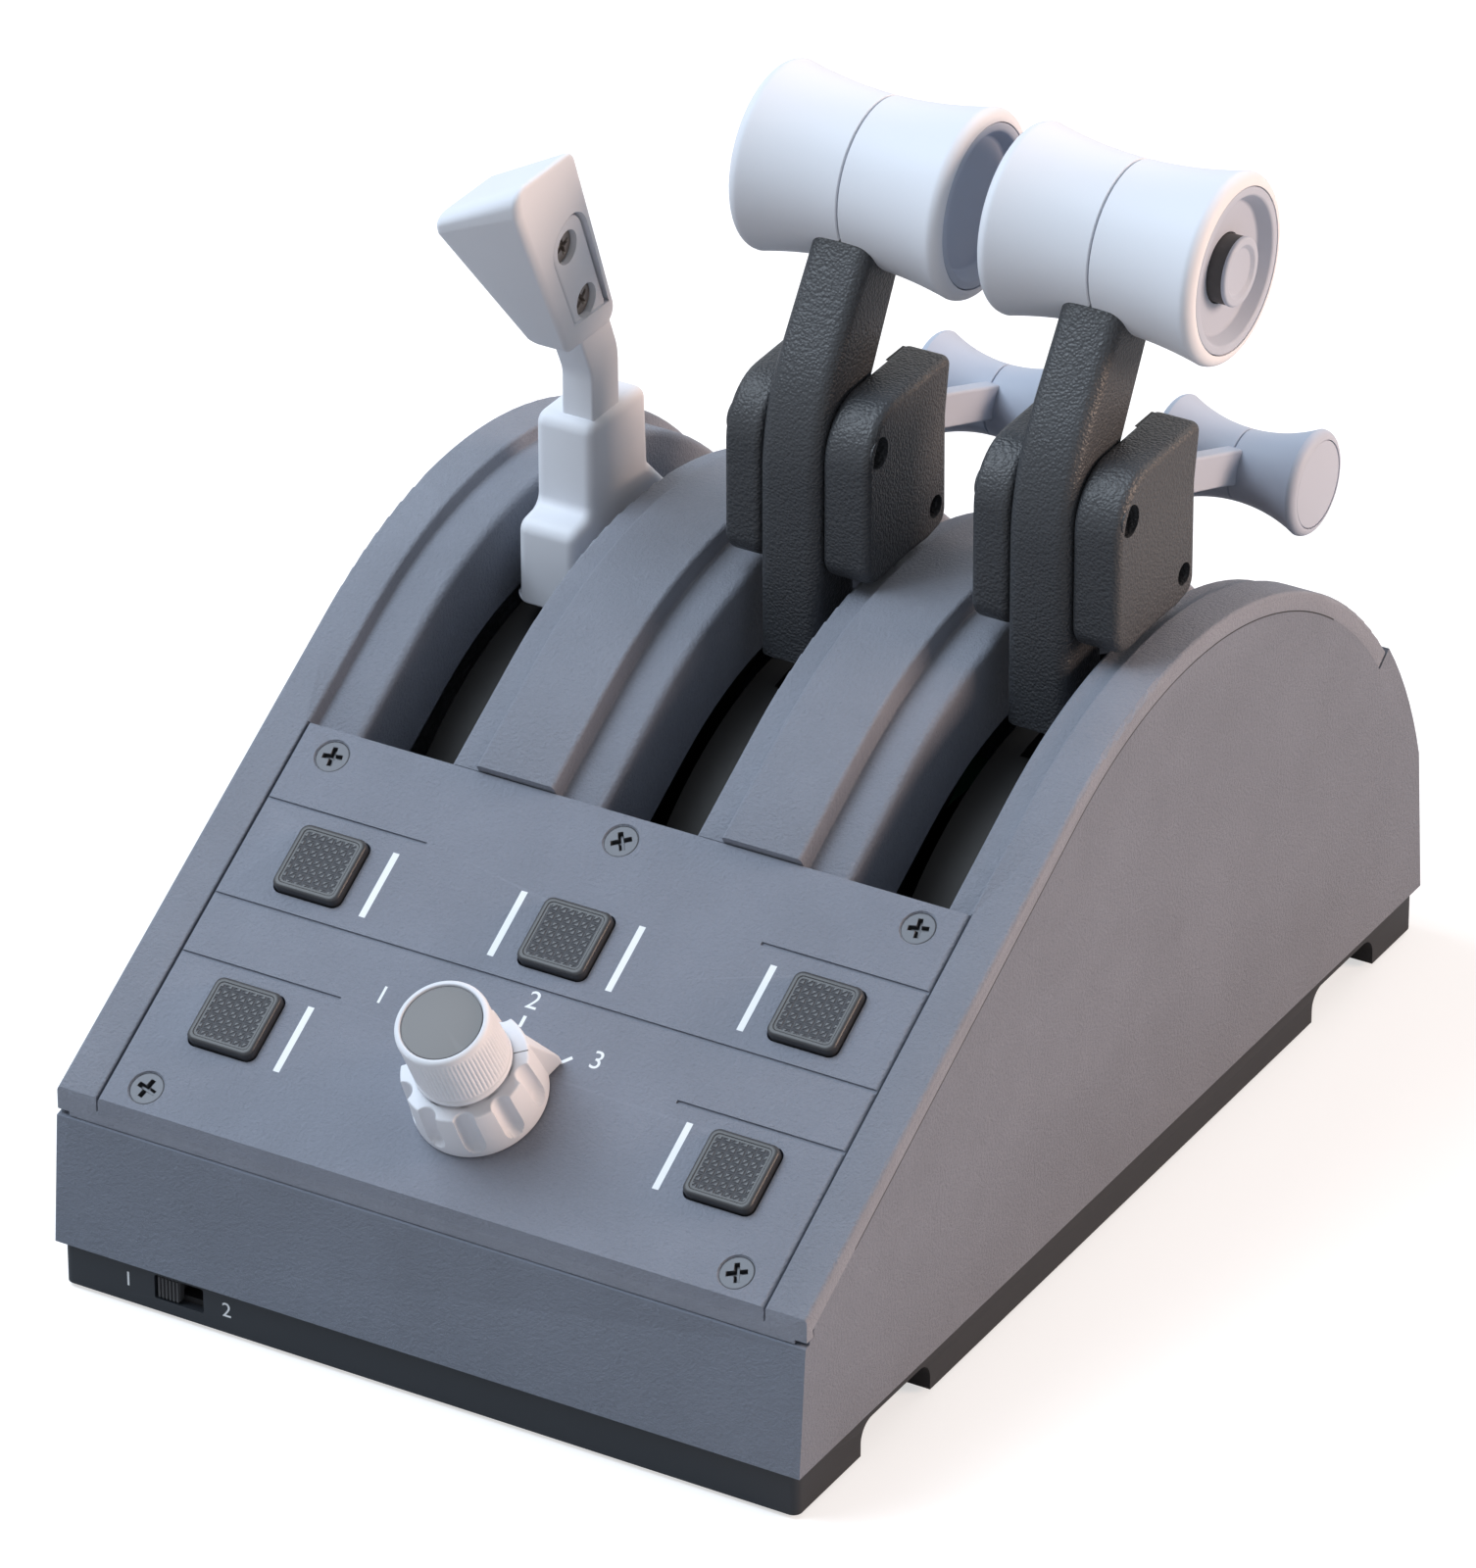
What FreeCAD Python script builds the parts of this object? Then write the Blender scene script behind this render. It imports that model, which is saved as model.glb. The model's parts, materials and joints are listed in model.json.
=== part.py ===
import FreeCAD, Part
import math
import os

import Sketcher

# Desk-top throttle quadrant for a flight simulator: a sloped housing with a speed brake lever,
# two throttle levers that each carry a reverse lever, five push buttons, a two-part selector and
# a slide switch.  X runs to the right, Y away from the user and Z up.  The origin is the centre
# of the footprint on the desk.  Every body is drawn in one of three frames:
#   tray frame   the underside of the tray, lifted off the desk by the feet
#   pivot frame  the same directions, on the axle that all three levers turn about
#   deck frame   on the axle too, tilted so that local Y runs up the slope of the control panel

V = FreeCAD.Vector
doc = FreeCAD.newDocument("ThrottleQuadrant")

# ---------------------------------------------------------------- driving dimensions

SIZES = [
    # housing
    ("body_width", 184.4, "outside width of the housing"),
    ("body_depth", 281.7, "outside depth at the foot of the housing"),
    ("wall", 2.8, "wall of the main housing"),
    ("foot_height", 1.0, "part of a foot below the tray"),
    ("tray_height", 10.4, "height of the tray"),
    ("tray_inset", 1.25, "step from the housing in to the tray"),
    ("tray_wall", 2.4, "wall of the tray"),
    ("tray_floor", 2.6, "floor of the tray"),
    ("corner_radius", 2.0, "upright corners of the tray"),
    ("front_lean", 2.45, "lean of the front wall over its height"),
    ("front_top", 40.9, "top of the front wall"),
    ("back_lean", 3.05, "lean of the back wall over its height"),
    ("back_top", 46.2, "top of the back wall"),
    ("port_x", -28.0, "USB port beside the middle"),
    ("port_z", 19.0, "USB port above the underside of the tray"),
    # levers and deck
    ("pivot_y", 29.2, "lever axle behind the middle"),
    ("pivot_z", 15.7, "lever axle above the underside of the tray"),
    ("deck_radius", 111.8, "arched deck about the lever axle"),
    ("deck_angle", 30.17, "slope of the control panel"),
    ("deck_run", 35.2, "top row of panel screws to the start of the arch"),
    ("panel_top", 6.56, "edge of the panel above its top row of screws"),
    ("cover_skin", 4.4, "joint between cover and housing below the deck"),
    ("cover_sheet", 2.8, "plate of the top cover"),
    ("hood_rise", 1.05, "rear hood above the arch"),
    ("notch_angle", 53.8, "rear end of the cover behind the axle"),
    ("front_face", 137.9, "front end of cover and panel"),
    ("front_sill", 42.3, "lower edge of the cover at the front"),
    # slots
    ("slot_width", 24.4, "lever slot"),
    ("slot_pitch", 61.0, "lever slots apart"),
    ("slot_offset", 2.9, "middle slot right of the centre plane"),
    ("slot_back_angle", 50.0, "rear end of the slots behind the axle"),
    ("slot_depth", 24.0, "walls of the slots below the deck"),
    ("slot_wall", 2.0, "thickness of the slot walls"),
    ("rail_inner", 82.3, "inner edge of the side rails"),
    ("ledge_width", 10.2, "ledge beside a slot"),
    ("ledge_drop", 2.9, "ledge below the deck"),
    ("band_rise", 2.0, "middle bands above the deck"),
    ("strip_width", 6.9, "low strip beside a middle band"),
    ("strip_drop", 0.5, "low strip below the deck"),
    ("edge_round", 1.0, "rounded edges of bands and rails"),
    # panel
    ("panel_sheet", 3.0, "thickness of the control panel"),
    ("panel_gap", 0.35, "gap round the panel"),
    ("screw_reach", 72.6, "corner screws from the centre plane"),
    ("screw_row", 87.4, "lower row of screws below the top row"),
    ("screw_head", 8.0, "head diameter of the panel screws"),
    ("button_size", 16.5, "square of a push button"),
    ("button_reach", 61.2, "outer buttons from the centre plane"),
    ("button_row", 26.2, "upper buttons below the top row of screws"),
    ("button_step", 40.2, "lower buttons below the upper ones"),
    ("button_rise", 2.2, "button above the panel"),
    ("button_travel", 1.5, "stroke of a button"),
    ("button_gap", 0.35, "gap round a button"),
    ("groove_depth", 0.5, "engraved lines of the panel"),
    ("groove_width", 0.8, "width of the engraved lines"),
    # selector
    ("selector_drop", 66.5, "selector below the top row of screws"),
    ("ring_radius", 14.7, "foot of the selector ring"),
    ("ring_top_radius", 13.6, "top of the selector ring"),
    ("ring_height", 13.3, "height of the selector ring"),
    ("pointer_reach", 18.4, "tip of the pointer from the selector axis"),
    ("knob_radius", 11.0, "selector knob"),
    ("knob_top", 30.5, "top of the selector knob above the panel"),
    ("knob_lift", 0.8, "selector knob above its ring"),
    ("shaft_radius", 3.0, "selector shaft"),
    ("run_fit", 0.05, "radial clearance of running fits"),
    # lever hubs
    ("axle_radius", 4.0, "lever axle"),
    ("drum_radius", 84.5, "dust drum of a lever"),
    ("drum_wall", 2.5, "rim of the dust drum"),
    ("drum_width", 21.5, "width of the dust drum"),
    ("drum_half_angle", 62.0, "half sweep of the dust drum"),
    # throttle levers, from the axle
    ("arm_width", 15.0, "throttle arm across"),
    ("arm_depth", 14.6, "throttle arm front to back"),
    ("arm_front", 19.7, "front of the arm ahead of the axle"),
    ("arm_knee", 150.7, "bend of the arm above the axle"),
    ("arm_lean", 33.6, "backward lean above the bend"),
    ("knee_round", 42.0, "outside radius of the bend"),
    ("grip_y", 18.1, "thrust grip behind the axle"),
    ("grip_z", 191.5, "thrust grip above the axle"),
    ("grip_length", 52.0, "thrust grip end to end"),
    ("grip_radius", 21.3, "thrust grip at its ends"),
    ("grip_waist", 18.5, "thrust grip at its waist"),
    ("grip_bore", 13.0, "hollow of the thrust grip"),
    ("cap_radius", 18.4, "end cap of the thrust grip"),
    ("cap_recess", 14.75, "floor of the recess in the end cap"),
    ("cap_depth", 3.3, "depth of the recess in the end cap"),
    ("thumb_radius", 7.7, "thumb button in the thrust grip"),
    ("thumb_rise", 1.1, "thumb button beyond the end of the grip"),
    ("thumb_travel", 1.5, "stroke of the thumb button"),
    ("shell_right", 11.5, "right-hand shell beside the arm"),
    ("shell_left", 9.4, "left-hand shell beside the arm"),
    ("shell_round", 1.5, "rounded outer edges of the shells"),
    ("shell_foot", 116.0, "underside of the shells about the axle"),
    ("seat_gap", 0.1, "clearance of pieces that seat in each other"),
    ("side_gap", 0.4, "clearance beside moving pieces"),
    # reverse levers, from the axle
    ("hinge_y", 14.4, "reverse pivot ahead of the axle"),
    ("hinge_z", 144.8, "reverse pivot above the axle"),
    ("pin_radius", 2.0, "reverse pivot pin"),
    ("reverse_length", 94.3, "reverse pivot to reverse grip"),
    ("reverse_droop", 20.03, "reverse bar below the horizontal"),
    ("reverse_travel", 45.0, "lift of the reverse lever"),
    ("bar_width", 4.4, "reverse bar across"),
    ("bar_depth", 9.0, "reverse bar in height"),
    ("small_length", 36.6, "reverse grip end to end"),
    ("small_radius", 12.1, "reverse grip at its ends"),
    ("small_waist", 8.2, "reverse grip at its waist"),
    ("small_bore", 6.0, "hollow of the reverse grip"),
    ("small_cap", 10.0, "end disc of the reverse grip"),
    # speed brake lever, from the axle
    ("brake_width", 14.8, "speed brake block across"),
    ("neck_lean", 24.5, "forward lean of the neck"),
    ("handle_width", 21.0, "speed brake handle across at its top"),
    ("handle_side", 6.8, "right face of the handle beside the middle of the slot"),
]


class Size:
    """A number that carries the sheet expression it comes from."""

    def __init__(self, value, text):
        self.value = float(value)
        self.text = text

    def __add__(self, other):
        return join_sizes(self, "+", other)

    def __radd__(self, other):
        return join_sizes(other, "+", self)

    def __sub__(self, other):
        return join_sizes(self, "-", other)

    def __rsub__(self, other):
        return join_sizes(other, "-", self)

    def __mul__(self, other):
        return join_sizes(self, "*", other)

    def __rmul__(self, other):
        return join_sizes(other, "*", self)

    def __truediv__(self, other):
        return join_sizes(self, "/", other)

    def __neg__(self):
        return Size(-self.value, f"(-1 * {self.text})")


def as_size(item):
    """A plain number as a Size."""
    if isinstance(item, Size):
        return item
    return Size(item, f"({float(item):.6g})" if item < 0 else f"{float(item):.6g}")


def join_sizes(first, sign, second):
    """first sign second, as a number and as an expression."""
    first, second = as_size(first), as_size(second)
    result = {
        "+": lambda: first.value + second.value,
        "-": lambda: first.value - second.value,
        "*": lambda: first.value * second.value,
        "/": lambda: first.value / second.value,
    }[sign]()
    return Size(result, f"({first.text} {sign} {second.text})")


def sine(angle):
    angle = as_size(angle)
    return Size(math.sin(math.radians(angle.value)), f"sin({angle.text})")


def cosine(angle):
    angle = as_size(angle)
    return Size(math.cos(math.radians(angle.value)), f"cos({angle.text})")


def tangent(angle):
    angle = as_size(angle)
    return Size(math.tan(math.radians(angle.value)), f"tan({angle.text})")


def root(item):
    item = as_size(item)
    return Size(math.sqrt(item.value), f"sqrt({item.text})")


sheet = doc.addObject("Spreadsheet::Sheet", "Sizes")
S = {}
for row, (alias, number, note) in enumerate(SIZES, start=1):
    sheet.set(f"A{row}", note)
    sheet.set(f"B{row}", f"{number:g}")
    sheet.setAlias(f"B{row}", alias)
    S[alias] = Size(number, f"Sizes.{alias}")
doc.recompute()


# ---------------------------------------------------------------- modelling helpers

PARTS = []


def bind(item, prop, size):
    """Set a property's expression, or its plain number."""
    size = as_size(size)
    if "Sizes." in size.text:
        item.setExpression(prop, size.text)
    else:
        setattr(item, prop, size.value)


def new_body(label, place, tilt=0.0):
    """A body of its own, at place and turned about X by tilt."""
    body = doc.addObject("PartDesign::Body", label)
    body.Label = label
    tilt = as_size(tilt)
    spots = [as_size(item) for item in place]
    body.Placement = FreeCAD.Placement(V(*[spot.value for spot in spots]),
                                       FreeCAD.Rotation(V(1, 0, 0), tilt.value))
    for axis, spot in zip("xyz", spots):
        body.setExpression(f"Placement.Base.{axis}", spot.text)
    if tilt.value:
        body.setExpression("Placement.Rotation.Angle", tilt.text)
    PARTS.append(body)
    return body


class Corner:
    """One corner of an outline: rounded by fillet, or followed by an arc of radius bend."""

    def __init__(self, across, up, fillet=None, bend=None, turn_left=True):
        self.across = as_size(across)
        self.up = as_size(up)
        self.fillet = as_size(fillet) if fillet is not None else None
        self.bend = as_size(bend) if bend is not None else None
        self.turn_left = turn_left

    @property
    def point(self):
        return V(self.across.value, self.up.value, 0)


def arc_between(start, end, radius, turn_left):
    """The short arc from start to end; an arc that turns right is drawn from its end."""
    if not turn_left:
        start, end = end, start
    chord = end - start
    half = chord.Length / 2
    side = V(-chord.y, chord.x, 0).normalize()
    centre = (start + end) * 0.5 + side * math.sqrt(max(radius * radius - half * half, 0.0))
    first = math.atan2(start.y - centre.y, start.x - centre.x)
    last = math.atan2(end.y - centre.y, end.x - centre.x)
    if last < first:
        last += 2 * math.pi
    return Part.ArcOfCircle(Part.Circle(centre, V(0, 0, 1), radius), first, last)


def fix_point(sketch, index, position, across, up):
    """Fix one point of the sketch at across, up."""
    for kind, size in (("DistanceX", across), ("DistanceY", up)):
        number = sketch.addConstraint(Sketcher.Constraint(kind, -1, 1, index, position, size.value))
        if "Sizes." in size.text:
            sketch.setExpression(f"Constraints[{number}]", size.text)


def fix_radius(sketch, index, size):
    number = sketch.addConstraint(Sketcher.Constraint("Radius", index, size.value))
    if "Sizes." in size.text:
        sketch.setExpression(f"Constraints[{number}]", size.text)


def draw_circle(sketch, across, up, radius):
    across, up, radius = as_size(across), as_size(up), as_size(radius)
    circle = Part.Circle(V(across.value, up.value, 0), V(0, 0, 1), radius.value)
    index = sketch.addGeometry(circle, False)
    fix_point(sketch, index, 3, across, up)
    fix_radius(sketch, index, radius)


def draw_outline(sketch, corners):
    """A closed, fully fixed outline through the corners."""
    count = len(corners)
    points = [corner.point for corner in corners]
    entry, leave, rounds = list(points), list(points), [None] * count
    for index, corner in enumerate(corners):
        if corner.fillet is None or corner.fillet.value <= 0:
            continue
        before = (points[index - 1] - points[index]).normalize()
        after = (points[(index + 1) % count] - points[index]).normalize()
        half = before.getAngle(after) / 2
        reach = corner.fillet.value / math.tan(half)
        entry[index] = points[index] + before * reach
        leave[index] = points[index] + after * reach
        left = before.cross(after).z < 0
        rounds[index] = (arc_between(entry[index], leave[index], corner.fillet.value, left), left)
    edges = []
    for index, corner in enumerate(corners):
        start, end = leave[index], entry[(index + 1) % count]
        if corner.bend is None:
            edges.append((sketch.addGeometry(Part.LineSegment(start, end), False), 1, 2))
        else:
            arc = arc_between(start, end, corner.bend.value, corner.turn_left)
            number = sketch.addGeometry(arc, False)
            edges.append((number, 1, 2) if corner.turn_left else (number, 2, 1))
    for index, corner in enumerate(corners):
        last, this = edges[index - 1], edges[index]
        if rounds[index] is None:
            sketch.addConstraint(Sketcher.Constraint("Coincident", last[0], last[2],
                                                     this[0], this[1]))
            fix_point(sketch, this[0], this[1], corner.across, corner.up)
        else:
            arc, left = rounds[index]
            number = sketch.addGeometry(arc, False)
            first, second = (1, 2) if left else (2, 1)
            spot = sketch.addGeometry(Part.Point(points[index]), True)
            sketch.addConstraint([
                Sketcher.Constraint("Tangent", last[0], last[2], number, first),
                Sketcher.Constraint("Tangent", this[0], this[1], number, second),
                Sketcher.Constraint("PointOnObject", spot, 1, last[0]),
                Sketcher.Constraint("PointOnObject", spot, 1, this[0]),
            ])
            fix_radius(sketch, number, corner.fillet)
            fix_point(sketch, spot, 1, corner.across, corner.up)
        if corner.bend is not None:
            fix_radius(sketch, this[0], corner.bend)


def box_outline(left, low, right, high, fillet=None):
    """A rectangle, with rounded corners if a fillet is given."""
    return [Corner(left, low, fillet), Corner(right, low, fillet),
            Corner(right, high, fillet), Corner(left, high, fillet)]


def new_sketch(body, plane, loops, start=0.0, lean=0.0):
    """A sketch on an origin plane, moved along its normal by start and turned by lean.

    A loop is an outline, a list of corners, or a circle, a tuple of centre and radius.
    """
    sketch = body.newObject("Sketcher::SketchObject", f"{body.Label}_sketch")
    support = [item for item in body.Origin.OriginFeatures if item.Role == f"{plane}_Plane"][0]
    sketch.AttachmentSupport = [(support, "")]
    sketch.MapMode = "FlatFace"
    start, lean = as_size(start), as_size(lean)
    sketch.AttachmentOffset = FreeCAD.Placement(V(0, 0, start.value),
                                                FreeCAD.Rotation(V(1, 0, 0), lean.value))
    if "Sizes." in start.text:
        sketch.setExpression("AttachmentOffset.Base.z", start.text)
    if "Sizes." in lean.text:
        sketch.setExpression("AttachmentOffset.Rotation.Angle", lean.text)
    for loop in loops:
        if isinstance(loop, tuple):
            draw_circle(sketch, *loop)
        else:
            draw_outline(sketch, loop)
    return sketch


def volume_of(body):
    doc.recompute()
    return 0.0 if body.Shape.isNull() else body.Shape.Volume


def extrude(body, plane, loops, start, length, cut=False):
    """Pad, or pocket, the loops from start over length along the plane's normal."""
    sketch = new_sketch(body, plane, loops, start)
    return extrude_sketch(body, sketch, length, cut)


def extrude_sketch(body, sketch, length, cut=False, backward=False):
    before = volume_of(body)
    feature = body.newObject("PartDesign::Pocket" if cut else "PartDesign::Pad",
                             f"{body.Label}_{'pocket' if cut else 'pad'}")
    feature.Profile = sketch
    bind(feature, "Length", length)
    feature.Reversed = cut != backward
    check_change(body, before, cut)
    return feature


def revolve(body, plane, loops, cut=False, start=0.0, angle=360.0, lean=0.0, axis="H_Axis",
            backward=False):
    """Revolve, or groove, the loops about the sketch's own axis."""
    sketch = new_sketch(body, plane, loops, start, lean)
    return revolve_sketch(body, sketch, cut, angle, axis, backward)


def revolve_sketch(body, sketch, cut=False, angle=360.0, axis="H_Axis", backward=False):
    before = volume_of(body)
    feature = body.newObject("PartDesign::Groove" if cut else "PartDesign::Revolution",
                             f"{body.Label}_{'groove' if cut else 'turn'}")
    feature.Profile = sketch
    feature.ReferenceAxis = (sketch, [axis])
    bind(feature, "Angle", angle)
    feature.Reversed = backward
    check_change(body, before, cut)
    return feature


def check_change(body, before, cut):
    """Stop if a feature added nothing or cut nothing."""
    after = volume_of(body)
    change = before - after if cut else after - before
    if change < 1e-3:
        raise RuntimeError(f"{body.Label}: a feature changed the volume by {change:.4f}")


def repeat_round(body, feature, sketch, count, axis="N_Axis"):
    """A polar pattern of one feature about the normal of its sketch."""
    pattern = body.newObject("PartDesign::PolarPattern", f"{body.Label}_pattern")
    pattern.Originals = [feature]
    pattern.Axis = (sketch, [axis])
    pattern.Angle = 360
    pattern.Occurrences = count
    body.Tip = pattern
    doc.recompute()
    return pattern


def round_edges(body, feature, radius, test):
    """Round the edges of a feature that pass the test."""
    doc.recompute()
    names = [f"Edge{number}" for number, edge in enumerate(feature.Shape.Edges, start=1)
             if test(edge)]
    if not names:
        raise RuntimeError(f"{body.Label}: no edge to round")
    fillet = body.newObject("PartDesign::Fillet", f"{body.Label}_fillet")
    fillet.Base = (feature, names)
    bind(fillet, "Radius", radius)
    doc.recompute()
    return fillet


def level(edge, axis, value, tolerance=1e-3):
    """True where an edge lies wholly at one value along an axis."""
    box = edge.BoundBox
    low, high = getattr(box, axis + "Min"), getattr(box, axis + "Max")
    return abs(low - value) < tolerance and abs(high - value) < tolerance


# ---------------------------------------------------------------- frames and shared places

half_width = S["body_width"] / 2
half_depth = S["body_depth"] / 2
TRAY = (0.0, 0.0, S["foot_height"])
PIVOT = (0.0, S["pivot_y"], S["foot_height"] + S["pivot_z"])


def pivot_at(across):
    return (across, PIVOT[1], PIVOT[2])


def on_deck(back, up):
    """A point of the tray frame as local Y and Z of the deck frame."""
    back, up = back - S["pivot_y"], up - S["pivot_z"]
    turn = S["deck_angle"]
    return (back * cosine(turn) + up * sine(turn), up * cosine(turn) - back * sine(turn))


def slope(distance):
    """Deck-frame Y of a point this far up the slope from the top row of screws."""
    return distance - S["deck_run"]


def height(rise):
    """Deck-frame Z of a point this far above the deck."""
    return S["deck_radius"] + rise


def about_pivot(radius, angle):
    """Tray-frame Y, Z at a radius about the axle, angle measured backward from upright."""
    return (S["pivot_y"] + radius * sine(angle), S["pivot_z"] + radius * cosine(angle))


slot_centres = {
    "speed_brake": S["slot_offset"] - S["slot_pitch"],
    "throttle_left": S["slot_offset"],
    "throttle_right": S["slot_offset"] + S["slot_pitch"],
}
tray_half_width = half_width - S["tray_inset"]
tray_half_depth = half_depth - S["tray_inset"]
seam_radius = S["deck_radius"] - S["cover_skin"]
hood_radius = S["deck_radius"] + S["hood_rise"]
screw_posts = [(side, back) for side in (-1, 1) for back in (-71.0, -2.0, 78.0)]
post_reach = tray_half_width - 8.5
"""Screw posts join tray and housing near the side walls."""


# ---------------------------------------------------------------- tray and what it carries

def make_tray():
    body = new_body("base_tray", TRAY)
    wide, deep = tray_half_width, tray_half_depth
    block = extrude(body, "XY", [box_outline(-wide, -deep, wide, deep, S["corner_radius"])],
                    0.0, S["tray_height"])
    inner_wide, inner_deep = wide - S["tray_wall"], deep - S["tray_wall"]
    extrude(body, "XY", [box_outline(-inner_wide, -inner_deep, inner_wide, inner_deep)],
            S["tray_floor"], S["tray_height"], cut=True)
    hooks = [(-113.0, -83.5), (90.5, 120.0)]
    depth, sheet_wall, top = 9.0, 2.0, 7.5
    pockets = []
    for low, high in hooks:
        pockets.append(box_outline(wide - depth - sheet_wall, low - sheet_wall,
                                   wide - 1.0, high + sheet_wall))
        pockets.append(box_outline(1.0 - wide, low - sheet_wall,
                                   depth + sheet_wall - wide, high + sheet_wall))
    extrude(body, "XY", pockets, 1.0, top + sheet_wall - 1.0)
    gaps = [[Corner(low, -2.0), Corner(high, -2.0), Corner(high, top, 4.5), Corner(low, top, 4.5)]
            for low, high in hooks]
    extrude(body, "YZ", gaps, wide - depth, depth + 1.0, cut=True)
    extrude(body, "YZ", gaps, -wide - 1.0, depth + 1.0, cut=True)
    posts = [(side * post_reach, back, 4.0) for side, back in screw_posts]
    extrude(body, "XY", posts, 1.0, S["tray_height"] - 1.0)
    extrude(body, "XY", [(x, y, 3.3) for x, y, r in posts], -0.5, 4.5, cut=True)
    extrude(body, "XY", [(x, y, 1.7) for x, y, r in posts], -0.5, 12.0, cut=True)
    window = box_outline(-67.8, 3.0, -55.4, 9.0, 0.6)
    extrude(body, "XZ", [window], deep - S["tray_wall"] - 1.0, S["tray_wall"] + 2.0, cut=True)
    feet = [(side * FOOT_X, back * FOOT_Y, FOOT_RADIUS + 0.2) for side in (-1, 1) for back in (-1, 1)]
    extrude(body, "XY", feet, -0.5, 1.5, cut=True)
    return body


FOOT_X, FOOT_Y, FOOT_RADIUS = 70.0, 122.0, 9.0


def make_feet():
    body = new_body("rubber_feet", TRAY)
    feet = [(side * FOOT_X, back * FOOT_Y, FOOT_RADIUS) for side in (-1, 1) for back in (-1, 1)]
    extrude(body, "XY", feet, -S["foot_height"], S["foot_height"] + 1.0)
    return body


def make_tray_screws():
    body = new_body("tray_screws", TRAY)
    spots = [(side * post_reach, back) for side, back in screw_posts]
    extrude(body, "XY", [(x, y, 3.0) for x, y in spots], 1.6, 2.4)
    extrude(body, "XY", [(x, y, 1.5) for x, y in spots], 3.9, 14.0)
    return body


def make_ballast():
    body = new_body("ballast_plate", TRAY)
    extrude(body, "XY", [box_outline(-62.0, -110.0, 62.0, 4.0, 5.0)], S["tray_floor"], 3.0)
    return body


def make_housing():
    body = new_body("main_housing", TRAY)
    low = S["tray_height"]
    front_low, back_low = -half_depth, half_depth
    front_high = front_low + S["front_lean"]
    back_high = back_low - S["back_lean"]
    notch_y, notch_z = about_pivot(hood_radius, S["notch_angle"] + 0.5)
    seam_y, seam_z = about_pivot(seam_radius, S["notch_angle"] + 0.5)
    bend_y, bend_z = about_pivot(seam_radius, -S["deck_angle"])
    step_y = front_high + 1.7
    land_y = S["wall"] - S["front_face"] + S["seat_gap"]

    def seam_at(back, below=0.0):
        """Height of the seam below the straight part of the deck, or of a line below it."""
        return bend_z - (bend_y - back) * tangent(S["deck_angle"]) - below

    hood = root(hood_radius * hood_radius - (back_high - S["pivot_y"]) * (back_high - S["pivot_y"]))
    outline = [
        Corner(front_low, low),
        Corner(back_low, low),
        Corner(back_high, S["pivot_z"] + hood, bend=hood_radius),
        Corner(notch_y, notch_z),
        Corner(seam_y, seam_z, bend=seam_radius),
        Corner(bend_y, bend_z),
        Corner(land_y, seam_at(land_y)),
        Corner(land_y, S["front_sill"] - S["seat_gap"]),
        Corner(step_y, S["front_sill"] - S["seat_gap"]),
        Corner(step_y, S["front_top"] + 0.4),
        Corner(front_high, S["front_top"]),
    ]
    extrude(body, "YZ", [outline], -half_width, S["body_width"])
    inside_y = back_high - S["wall"]
    inner = hood_radius - S["wall"]
    shelf_drop = ((S["ledge_drop"] + S["cover_sheet"] - S["cover_skin"] + S["seat_gap"])
                  / cosine(S["deck_angle"]))
    inner_rise = root(inner * inner - (inside_y - S["pivot_y"]) * (inside_y - S["pivot_y"]))
    rim_y, rim_z = about_pivot(inner, S["notch_angle"] - 1.0)
    over_y, over_z = about_pivot(S["deck_radius"] + 12.0, S["notch_angle"] - 1.0)
    hollow = [
        Corner(front_low + S["wall"], low - 2.0),
        Corner(back_low - S["wall"], low - 2.0),
        Corner(inside_y, S["pivot_z"] + inner_rise, bend=inner),
        Corner(rim_y, rim_z),
        Corner(over_y, over_z),
        Corner(over_y, S["pivot_z"] + S["deck_radius"] + 5.0),
        Corner(front_low - 5.0, S["pivot_z"] + S["deck_radius"] + 5.0),
        Corner(front_low - 5.0, seam_at(front_low - 5.0, shelf_drop)),
        Corner(step_y + S["wall"], seam_at(step_y + S["wall"], shelf_drop)),
        Corner(step_y + S["wall"], low + 20.0),
    ]
    extrude(body, "YZ", [hollow], S["wall"] - half_width, S["body_width"] - 2 * S["wall"],
            cut=True)
    posts, pads = [], []
    for side, back in screw_posts:
        reach, wall_side = side * post_reach, side * (half_width - 1.0)
        pads.append(box_outline(min_of(reach, wall_side), back - 2.0,
                                max_of(reach, wall_side), back + 2.0))
        posts.append((reach, back, 4.0))
    extrude(body, "XY", pads, low, 14.0)
    extrude(body, "XY", posts, low, 14.0)
    extrude(body, "XY", [(x, y, 1.6) for x, y, r in posts], low - 1.0, 12.0, cut=True)
    extrude(body, "XZ", [port_outline(4.7, 1.8, 1.7)], -half_depth - 1.0, 8.0, cut=True)
    return body


def min_of(first, second):
    first, second = as_size(first), as_size(second)
    return first if first.value < second.value else second


def max_of(first, second):
    first, second = as_size(first), as_size(second)
    return first if first.value > second.value else second


# ---------------------------------------------------------------- top cover and panel

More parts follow.
